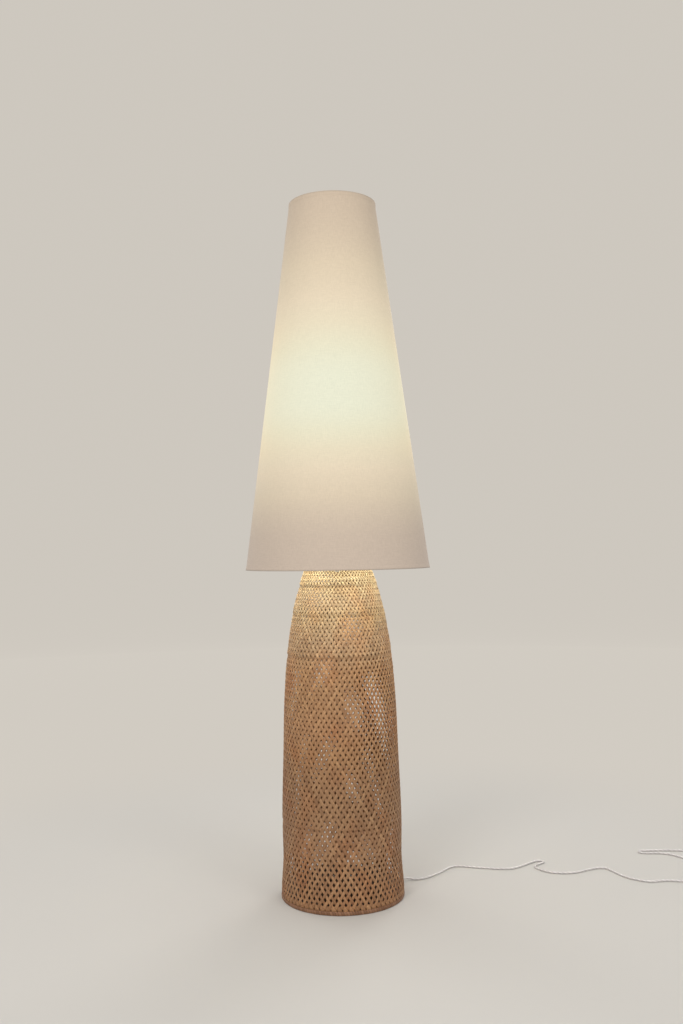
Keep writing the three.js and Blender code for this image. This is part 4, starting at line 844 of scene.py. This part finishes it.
def crease_parts(z, angle):
    """For each crease, its depth, the height of its ledge, how far each point is below it, and its share
    there: whole over a quarter of the way round, fading on both sides to none over the far half."""
    for height, depth, ledge, middle in CREASES:
        yield depth, ledge, height - z, smooth_step(np.cos(angle - math.radians(middle)), -0.1, 0.7)


def crease_shade(z, angle):
    """Painted shade right under each crease, from 0 to 1."""
    total = sum(0.35 * depth * smooth_step(below, -1.5, ledge) * np.exp(-np.maximum(below, 0) / 3.5) * share
                for depth, ledge, below, share in crease_parts(z, angle))
    return np.clip(total, 0, 0.9)


def drawn_in(z, angle):
    """How far the wall stands out, in millimetres: below each crease it steps in by the crease's depth and
    comes back out slowly, and between two heights near the neck it is slightly uneven."""
    total = sum(-depth * smooth_step(below, 0, ledge) * np.exp(-np.maximum(below, 0) / 14) * share
                for depth, ledge, below, share in crease_parts(z, angle))
    uneven = smooth_step(z, 440, 500) * (1 - smooth_step(z, 645, 660))
    return total + 0.45 * uneven * wave_noise(angle, z / 6.5, 31)


def woven_strands(name, lean, parity):
    """Half of the strands of one lean, as flat crowned ribbons. A strand's angle is (number + lean * step)
    cells, where step grows with the length of the wall over the cell and the slope. The two leans cross
    wherever step is a half or a whole, and each strand waves out and in as cos(2 pi step), so they pass
    over and under by turns."""
    line, length = meridian()
    radius, z = line.T
    inside = (np.arange(len(line)) >= WALL_ROWS + RIM_ROWS // 2).astype(float)
    slope = strand_slope(z, inside)
    rate = 1 / (radius * np.tan(slope) * TURN / STRANDS)
    crossings = np.concatenate([[0], np.cumsum((rate[1:] + rate[:-1]) / 2 * np.diff(length))])
    step = np.arange(0, crossings[-1], 1 / SAMPLES_PER_WAVE)
    at = np.interp(step, crossings, length)
    reach, height = np.interp(at, length, radius), np.interp(at, length, z)
    outward = np.interp(at, length, np.gradient(radius, length))
    upward = np.interp(at, length, np.gradient(z, length))
    slope = np.interp(at, length, slope)
    number = np.arange(parity, STRANDS, 2)[:, None]
    draw = np.random.default_rng(41 + parity + (7 if lean > 0 else 0))
    jitter = 0.032 * wave_noise(number * 2.4, step[None] / 2.3, 21 + lean)
    angle = TURN / STRANDS * (number + lean * step[None] + jitter)
    cos, sin = np.cos(angle), np.sin(angle)

    def spread(row):
        return np.broadcast_to(row, angle.shape)

    normal = np.stack([spread(upward) * cos, spread(upward) * sin, spread(-outward)], axis=-1)
    up = np.stack([spread(outward) * cos, spread(outward) * sin, spread(upward)], axis=-1)
    around = np.stack([-sin, cos, np.zeros(angle.shape)], axis=-1)
    forward = np.sin(slope)[None, :, None] * up + lean * np.cos(slope)[None, :, None] * around
    side = np.cross(forward, normal)
    middle = np.stack([reach * cos, reach * sin, spread(height)], axis=-1)
    wave = lean * np.tanh(2.3 * np.cos(TURN * step)) / math.tanh(2.3) * WAVE
    wave = wave + drawn_in(spread(height), angle)
    room = TURN * reach / STRANDS * np.sin(slope)
    width = room * open_share(spread(height), angle) * (1 + 0.028 * draw.normal(size=(len(number), 1)))
    across = np.array([-0.5, -0.40, 0.0, 0.40, 0.5, 0.40, 0.0, -0.40])
    lift = np.array([0.0, 0.36, 0.56, 0.36, 0.0, -0.36, -0.44, -0.36])
    points = (middle[:, :, None] + normal[:, :, None] * (wave[..., None] + STRAND_THICK * lift)[..., None]
              + side[:, :, None] * (width[..., None] * across)[..., None])
    count, rows = points.shape[:2]
    faces = quads_between(rows, STRAND_CORNERS, False, True)
    i, j = np.divmod(np.arange(len(faces)), STRAND_CORNERS)
    travelled = at / np.sin(slope) * MM
    lengthwise = travelled[i[:, None] + [0, 0, 1, 1]]
    crosswise = (j[:, None] + [0, 1, 1, 0]) * CORNER_STEP
    uv = np.stack([lengthwise, crosswise], axis=-1)
    offsets = (np.arange(count) * rows * STRAND_CORNERS)[:, None, None]
    all_faces = (faces[None] + offsets).reshape(-1, 4)
    first = offsets[:, 0] + np.arange(STRAND_CORNERS)[::-1]
    last = offsets[:, 0] + (rows - 1) * STRAND_CORNERS + np.arange(STRAND_CORNERS)
    ends = np.concatenate([first, last])
    repeated = np.broadcast_to(uv, (count, *uv.shape)).reshape(-1, 2)
    all_uv = np.concatenate([repeated, np.zeros((ends.size, 2))])
    tint = np.repeat(draw.uniform(size=count), rows * STRAND_CORNERS)
    crease = np.repeat(crease_shade(spread(height), angle).ravel(), STRAND_CORNERS)
    return piece_of(name, points, all_faces.tolist() + ends.tolist(), "stand", CANE, uv=all_uv,
                    values={"strand": tint, "crease": crease})


weave = [woven_strands(f"cane_leaning_{side}_{number + 1}", lean, number)
         for side, lean in (("right", 1), ("left", -1)) for number in (0, 1)]
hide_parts("woven_body")


# Shade

TAPE_THICK, GAP, FABRIC_THICK, LINER_THICK = 0.6, 0.3, 0.8, 1.2
FABRIC_INSET = TAPE_THICK + GAP


def cone_radius(z):
    """The outside of the cone, straight from its lower radius to its upper one."""
    return LOW_RADIUS + (HIGH_RADIUS - LOW_RADIUS) * (z - SHADE_LOW) / (SHADE_HIGH - SHADE_LOW)


def cone_shell(name, inset, thickness, finish, stands_for):
    """The wall of a cone as a closed loop carried round: up the outside and down the inside."""
    z = np.linspace(SHADE_LOW + FABRIC_INSET, SHADE_HIGH - FABRIC_INSET, 24)
    outside = np.column_stack([cone_radius(z) - inset, z])
    inner = np.column_stack([cone_radius(z) - inset - thickness, z])[::-1]
    return turned(name, np.vstack([outside, inner]), "shade", finish, stands_for, segments=192)


def rippled(r, z, a):
    """The tape's cloth gathers a little: r + 0.05 sin(90 a + z)."""
    return r + 0.05 * np.sin(90 * a + z), z


def edge_tape(name, edge, up, stands_for):
    """Cloth tape folded over an edge of the cone: down the outside, where it thins out to the linen, round
    the wire and up the inside. up is 1 at the lower edge and -1 at the upper one."""
    wire_inset = FABRIC_INSET + FABRIC_THICK + GAP + LINER_THICK + GAP + 4 + GAP
    legs = [(0, 0), (0.06, 2), (0.74, 9), (0.8, 9), (0.8, TAPE_THICK), (wire_inset, TAPE_THICK),
            (wire_inset, 9), (wire_inset + TAPE_THICK, 9), (wire_inset + TAPE_THICK, 0)]
    profile = [(cone_radius(edge + up * rise) - inset, edge + up * rise) for inset, rise in legs]
    return turned(name, rounded(profile, 0.5, 3), "shade", TAPE, stands_for, segments=384, change=rippled)


film_cone = cone_shell("film_cone", FABRIC_INSET + FABRIC_THICK + GAP, LINER_THICK, FILM, ["shade_liner"])
linen_cone = cone_shell("linen_cone", FABRIC_INSET, FABRIC_THICK, LINEN, ["shade_fabric"])
low_tape = edge_tape("low_tape", SHADE_LOW, 1, ["bottom_edge_tape"])
high_tape = edge_tape("high_tape", SHADE_HIGH, -1, ["top_edge_tape"])

LOW_WIRE_AT, HIGH_WIRE_AT, WIRE_RADIUS = (193.86, 702.95), (90.12, 1497.05), 2
turned("low_wire", circle_profile(*LOW_WIRE_AT, WIRE_RADIUS), "shade", WIRE, ["shade_bottom_ring"],
       segments=256)
turned("high_wire", circle_profile(*HIGH_WIRE_AT, WIRE_RADIUS), "shade", WIRE, ["shade_top_ring"],
       segments=160)


# Shade carrier and its nut

ARM_ANGLES = [math.radians(angle) for angle in (-90, 30, 150)]
HUB_BORE, HUB_RADIUS, HUB_LOW, HUB_HIGH = 8.5, 24, 705.3, 711.3
HUB_PROFILE = rounded([(HUB_BORE, HUB_LOW), (HUB_RADIUS, HUB_LOW), (HUB_RADIUS, HUB_HIGH - 3),
                       (HUB_RADIUS - 3, HUB_HIGH), (HUB_BORE, HUB_HIGH)], 0.7)
ARM_START, ARM_STEP, ARM_END = 20, 184.6, 198.0
ARM_HEIGHT, ARM_LOW, ARM_WIDE, ARM_THICK = 706.8, 698.2, 10, 3


def carrier_arm():
    """A flat bar that runs out from the hub, steps down by the edge of the shade and ends under it."""
    turn = ARM_STEP - ARM_THICK / 2
    bar = [(ARM_START, ARM_HEIGHT), (turn, ARM_HEIGHT), (turn, ARM_LOW), (ARM_STEP + 9, ARM_LOW)]
    line = rounded(bar, 3.2, 6, closed=False)
    line[-1, 0] = ARM_END
    end = smooth_step(line[:, 0], ARM_STEP, ARM_STEP + 3.4)
    path = np.column_stack([line[:, 0], np.zeros(len(line)), line[:, 1] + 0.9 * end])
    shrink = np.stack([1 - 0.3 * end, 1 - 0.6 * end], axis=-1)
    outline = soft_rectangle(ARM_WIDE, ARM_THICK, 0.7)[None] * shrink[:, None]
    return skinned(carried(path, outline, side=(0, -1, 0)), flip=True)


arm_points, arm_faces = carrier_arm()
joined("carrier", [ring_shell(HUB_PROFILE)] + [(spun(arm_points, a), arm_faces) for a in ARM_ANGLES],
       "carrier", CREAM, ["shade_carrier"])


def fluted(r, z, a):
    """Twelve grooves round the nut: its outside dips by 1.1 cos(12 a) cubed, where that is above 0."""
    return np.where(r > 12, r - 1.1 * np.clip(np.cos(12 * a), 0, 1) ** 3, r), z


def bush_profile(inside, outside, low, high, soften=0.6):
    """A plain sleeve with softened corners."""
    return rounded([(inside, low), (outside, low), (outside, high), (inside, high)], soften)


turned("thumb_nut", bush_profile(TUBE_BORE, 14, 711.6, 721.6, 0.8), "stand", STEEL, ["carrier_nut"],
       segments=240, change=fluted)
turned("seat_collar", bush_profile(TUBE_BORE, 13, 700, 705), "stand", STEEL, ["carrier_seat"])
turned("neck_collar", bush_profile(TUBE_BORE, 13, 666.7, 675.7), "stand", STEEL, ["spider_collar"])
turned("bronze_tube", bush_profile(6.8, TUBE_RADIUS, 35.6, 955, 0.3), "stand", BRONZE, ["centre_tube"],
       segments=48)


# Lampholder and bulb

def thread(low, high, pitch, depth):
    """A screw thread rolled into a thin wall: the radius waves with height less a pitch for each turn, and
    the wave fades out at both ends."""
    def change(r, z, a):
        fade = smooth_step(z, low, low + pitch) * (1 - smooth_step(z, high - pitch, high))
        return r + depth * fade * np.sin(TURN * (z / pitch - a / TURN)), z
    return change


def thin_wall(radius, thickness, low, high, rows):
    """A thin sleeve as a closed loop: up the outside and down the inside."""
    z = np.linspace(low, high, rows)
    return np.vstack([np.column_stack([np.full(rows, radius), z]),
                      np.column_stack([np.full(rows, radius - thickness), z])[::-1]])


HOLDER_LOW, HOLDER_HIGH, HOLDER_RADIUS, HOLDER_INSIDE = 978.9, 1016.9, 20, 18
HOLDER_RIBS = 3
turned("bush", rounded([(5.3, 943), (6.5, 943), (6.5, 955.3), (8, 955.3), (8, 958.3), (5.3, 958.3)], 0.4),
       "stand", BRASS, ["tube_bush"], segments=48)
turned("holder_cap", rounded([
    (5.3, 958.6), (9, 958.6), (9, 963.6), (16, 968.6), (20, 974.6), (20, 978.6), (18, 978.6), (18, 975.6),
    (14, 970.6), (5.3, 968.6)], 1.0), "stand", PLASTIC, ["socket_cap"])
ribs = []
for n in range(HOLDER_RIBS):
    low = HOLDER_LOW + (HOLDER_HIGH - HOLDER_LOW) / (2 * HOLDER_RIBS + 1) * (2 * n + 1)
    proud = HOLDER_RADIUS + 0.8
    ribs += [(HOLDER_RADIUS, low), (proud, low + 1.36), (proud, low + 4.07), (HOLDER_RADIUS, low + 5.43)]
holder = [(HOLDER_INSIDE, HOLDER_LOW), (HOLDER_RADIUS, HOLDER_LOW), *ribs, (HOLDER_RADIUS, HOLDER_HIGH),
          (HOLDER_INSIDE, HOLDER_HIGH)]
turned("holder_body", rounded(holder, 0.5), "stand", PLASTIC, ["socket_body"])
CORE_RADIUS, CORE_HIGH = 17.7, 985.9
core_side = rounded([(CORE_RADIUS, HOLDER_LOW), (CORE_RADIUS, CORE_HIGH)], 0.8, closed=False)
turned("holder_core", [(0, HOLDER_LOW), *core_side, (0, CORE_HIGH)], "stand", CERAMIC, ["socket_core"])
turned("brass_shell", thin_wall(14.75, 0.4, 986.3, 1010.1, 120), "stand", BRASS, ["screw_shell"],
       change=thread(988, 1009, 3.6, 0.45))
turned("bulb_screw", thin_wall(12.75, 0.4, 995, 1016.8, 110), "bulb", NICKEL, ["bulb_cap"],
       change=thread(996, 1013, 3.6, 0.42))
GLASS_LOW, GLASS_MIDDLE, NECK_RADIUS, GLOBE_RADIUS = 1017.2, 1067.2, 12, 30
rise = np.linspace(0, 1, 40)
flank = np.column_stack([NECK_RADIUS + (GLOBE_RADIUS - NECK_RADIUS) * (1 - np.cos(rise * math.pi)) / 2,
                         GLASS_LOW + (GLASS_MIDDLE - GLASS_LOW) * rise])
quarter = rise[1:-1] * math.pi / 2
crown = np.column_stack([GLOBE_RADIUS * np.cos(quarter), GLASS_MIDDLE + GLOBE_RADIUS * np.sin(quarter)])
glass = np.vstack([[(0, GLASS_LOW)], flank, crown, [(0, GLASS_MIDDLE + GLOBE_RADIUS)]])
turned("bulb_globe", glass, "bulb", BULB, ["bulb_glass"])


# Foot

HOOP_THICK = 5.8
PAD_REACH, PAD_RADIUS, PAD_HEIGHT = 92, 11, 11.7
BALLAST_BORE, BALLAST_RADIUS, BALLAST_LOW, BALLAST_HIGH = 7, 95, 17.3, 35.3
SCREW_REACH = 23
NECK_LOW, NECK_HIGH = 676, 679


def band_shape(r, z, a):
    """The band's outside and top edge waver by fractions of a millimetre, as cane bent by hand does."""
    outward = 0.22 * smooth_step(r, 129, 131)
    upward = 0.35 * smooth_step(z, 4, 8)
    return r + outward * wave_noise(3 * a, z / 9, 61), z + upward * wave_noise(2 * a, 0, 62)


turned("foot_band", rounded([(128.1, 0), (130.6, 0), (131.9, 1.6), (132.3, 4.2), (131.9, 7.0), (130.7, 8.6),
                             (128.1, 8.6)], 1.2, 4), "stand", RIM_CANE, ["foot_hoop"], segments=360,
       change=band_shape)
for name, node, middle, height in (("low_cane_hoop", "lower_hoop", 118.6, 132),
                                   ("high_cane_hoop", "upper_hoop", 91.1, 612)):
    turned(name, circle_profile(middle, height, HOOP_THICK / 2), "stand", HOOP_CANE, [node], segments=160)
pad_side = [(PAD_RADIUS - 1.5, 0), (PAD_RADIUS, 1.6), (PAD_RADIUS, PAD_HEIGHT)]
pad = [(0, 0), *rounded(pad_side, 0.8, closed=False), (0, PAD_HEIGHT)]
for n in range(4):
    angle = math.radians(45 + 90 * n)
    turned(f"rubber_pad_{n + 1}", pad, "stand", RUBBER, [f"rubber_foot_{n + 1}"], segments=40,
           axis=(PAD_REACH * math.cos(angle), PAD_REACH * math.sin(angle)))
turned("foot_disc", bush_profile(7, 122.9, 12, 17, 1.2), "stand", BLACK, ["foot_plate"], segments=192)
ballast = [(BALLAST_BORE, BALLAST_LOW), (BALLAST_RADIUS, BALLAST_LOW), (BALLAST_RADIUS, BALLAST_HIGH - 3),
           (BALLAST_RADIUS - 3, BALLAST_HIGH), (BALLAST_BORE, BALLAST_HIGH)]
turned("iron_weight", rounded(ballast, 1.4), "stand", IRON, ["ballast_disc"], segments=160)
turned("tube_socket", rounded([
    (TUBE_BORE, 35.6), (32, 35.6), (32, 39.6), (13, 39.6), (13, 55.6), (TUBE_BORE, 55.6)], 1.2),
    "stand", BLACK, ["tube_flange"])
screw = rounded([(0, 12), (3, 12), (3, 39.9), (5.5, 39.9), (5.5, 43.9), (2.6, 43.9), (2.6, 41.7), (0, 41.7)],
                0.7)
for n in range(3):
    angle = math.radians(90 + 120 * n)
    turned(f"socket_screw_{n + 1}", screw, "stand", STEEL, [f"flange_screw_{n + 1}"], segments=36,
           axis=(SCREW_REACH * math.cos(angle), SCREW_REACH * math.sin(angle)))
arm_points, arm_faces = skinned(
    carried([(reach, 0, (NECK_LOW + NECK_HIGH) / 2) for reach in (14, 40, 72)], soft_rectangle(12, 3, 0.7),
            side=(0, -1, 0)), flip=True)
joined("neck_frame", [
    ring_shell(bush_profile(TUBE_BORE, 17, NECK_LOW, NECK_HIGH)),
    ring_shell(bush_profile(69.6, 75.4, NECK_LOW, NECK_HIGH), 160),
    *((spun(arm_points, a), arm_faces) for a in ARM_ANGLES)], "stand", CREAM, ["neck_spider"])
turned("threaded_pipe", thin_wall(5, 1.4, 943, 969, 90), "stand", STEEL, ["nipple"],
       change=thread(943, 969, 1.0, -0.12))
turned("spring_contact", rounded([(0, 986.2), (5, 986.2), (2.5, 988.8), (0, 988.8)], 0.7), "stand", BRASS,
       ["centre_contact"], segments=40)
turned("bulb_solder", rounded([(0, 989.1), (2.4, 989.1), (4.8, 990.7), (0, 990.7)], 0.7), "bulb", NICKEL,
       ["bulb_tip"], segments=48)
turned("bulb_collar", rounded([(0, 991), (4.8, 991), (12.2, 994.6), (0, 994.6)], 0.7), "bulb", PLASTIC,
       ["bulb_insulator"], segments=48)


# Floor, backdrop and light

def plain_stage(name, profile, near, far):
    """A bowl of revolution: a flat floor that curves up into a far wall, the same from every side. To the
    camera its lit colour gives way with the distance from the lamp to one plain colour."""
    profile = np.array(profile, float)
    segments = 128
    angle = np.arange(segments) * TURN / segments
    heights = np.broadcast_to(profile[:, None, 1], (len(profile), segments))
    points = np.stack([profile[:, None, 0] * np.cos(angle), profile[:, None, 0] * np.sin(angle), heights],
                      axis=-1).reshape(-1, 3)
    mesh = bpy.data.meshes.new(name)
    faces = quads_between(len(profile), segments, False, True).tolist()
    mesh.from_pydata(points.tolist(), [], faces)
    mesh.polygons.foreach_set("use_smooth", np.ones(len(mesh.polygons), bool))
    surface = Finish(name, Roughness=0.7, Specular_IOR_Level=0.1)
    path = surface.tree.nodes.new("ShaderNodeLightPath")
    seen = surface.maths("MAXIMUM", path.outputs["Is Camera Ray"], path.outputs["Is Glossy Ray"])
    seen = surface.maths("MAXIMUM", seen, path.outputs["Is Transmission Ray"])
    away = surface.node("VectorMath", out=1, settings={"operation": "LENGTH"},
                        _0=surface.node("TexCoord", out=3))
    share = surface.ramp(surface.times(away, 0.18), [(near, 0.0), (far, 1.0)], smooth=True)
    share = surface.times(share, seen)
    surface.on("Base Color", surface.blend("MIX", share, (0.60, 0.585, 0.56), (0.0, 0.0, 0.0)))
    surface.on("Emission Color", (0.61, 0.572, 0.515, 1))
    surface.on("Emission Strength", share)
    mesh.materials.append(surface.material)
    stage = bpy.data.objects.new(name, mesh)
    bpy.context.scene.collection.objects.link(stage)
    return stage


FLOOR_REACH, SWEEP_RADIUS, STAGE_HEIGHT = 5.5, 1.5, 9
plain_stage("floor", [(0.001, 0), (0.5, 0), (1, 0), (FLOOR_REACH, 0)], 0.10, 0.28)
sweep = np.linspace(0, math.pi / 2, 16)
bowl = np.column_stack([FLOOR_REACH + SWEEP_RADIUS * np.sin(sweep), SWEEP_RADIUS * (1 - np.cos(sweep))])
wall = plain_stage("backdrop", [*bowl, (FLOOR_REACH + SWEEP_RADIUS, STAGE_HEIGHT)], 0.0, 0.01)
wall.visible_diffuse = False
wall.visible_shadow = False


def soft_light(name, place, target, size, watts, colour):
    """A round area light that faces its target and isn't seen itself."""
    light = bpy.data.lights.new(name, "AREA")
    light.shape = "DISK"
    light.size = size
    light.energy = watts
    light.color = colour
    lamp = bpy.data.objects.new(name, light)
    lamp.visible_camera = False
    bpy.context.scene.collection.objects.link(lamp)
    direction = np.array(target, float) - np.array(place, float)
    back = -direction / np.linalg.norm(direction)
    right = np.cross([0, 0, 1.0], back)
    right /= np.linalg.norm(right)
    turn = Matrix([list(row) for row in np.column_stack([right, np.cross(back, right), back])])
    lamp.matrix_world = Matrix.Translation(place) @ turn.to_4x4()


soft_light("key", (-1.4, -3.0, 2.6), (0, 0, 0.8), 1.6, 48, (1, 0.98, 0.95))
soft_light("fill", (2.2, -2.6, 2.0), (0, 0, 0.7), 1.8, 24, (1, 0.97, 0.93))
soft_light("rear_key", (1.4, 3.0, 2.6), (0, 0, 0.8), 1.8, 34, (1, 0.98, 0.95))
soft_light("rear_fill", (-2.2, 2.6, 2.0), (0, 0, 0.7), 1.8, 18, (1, 0.97, 0.93))

world = bpy.data.worlds.new("studio")
world.use_nodes = True
sky = world.node_tree.nodes["Background"]
sky.inputs["Color"].default_value = (1, 0.985, 0.96, 1)
sky.inputs["Strength"].default_value = 0.64
bpy.context.scene.world = world
bpy.context.scene.view_settings.view_transform = "Standard"
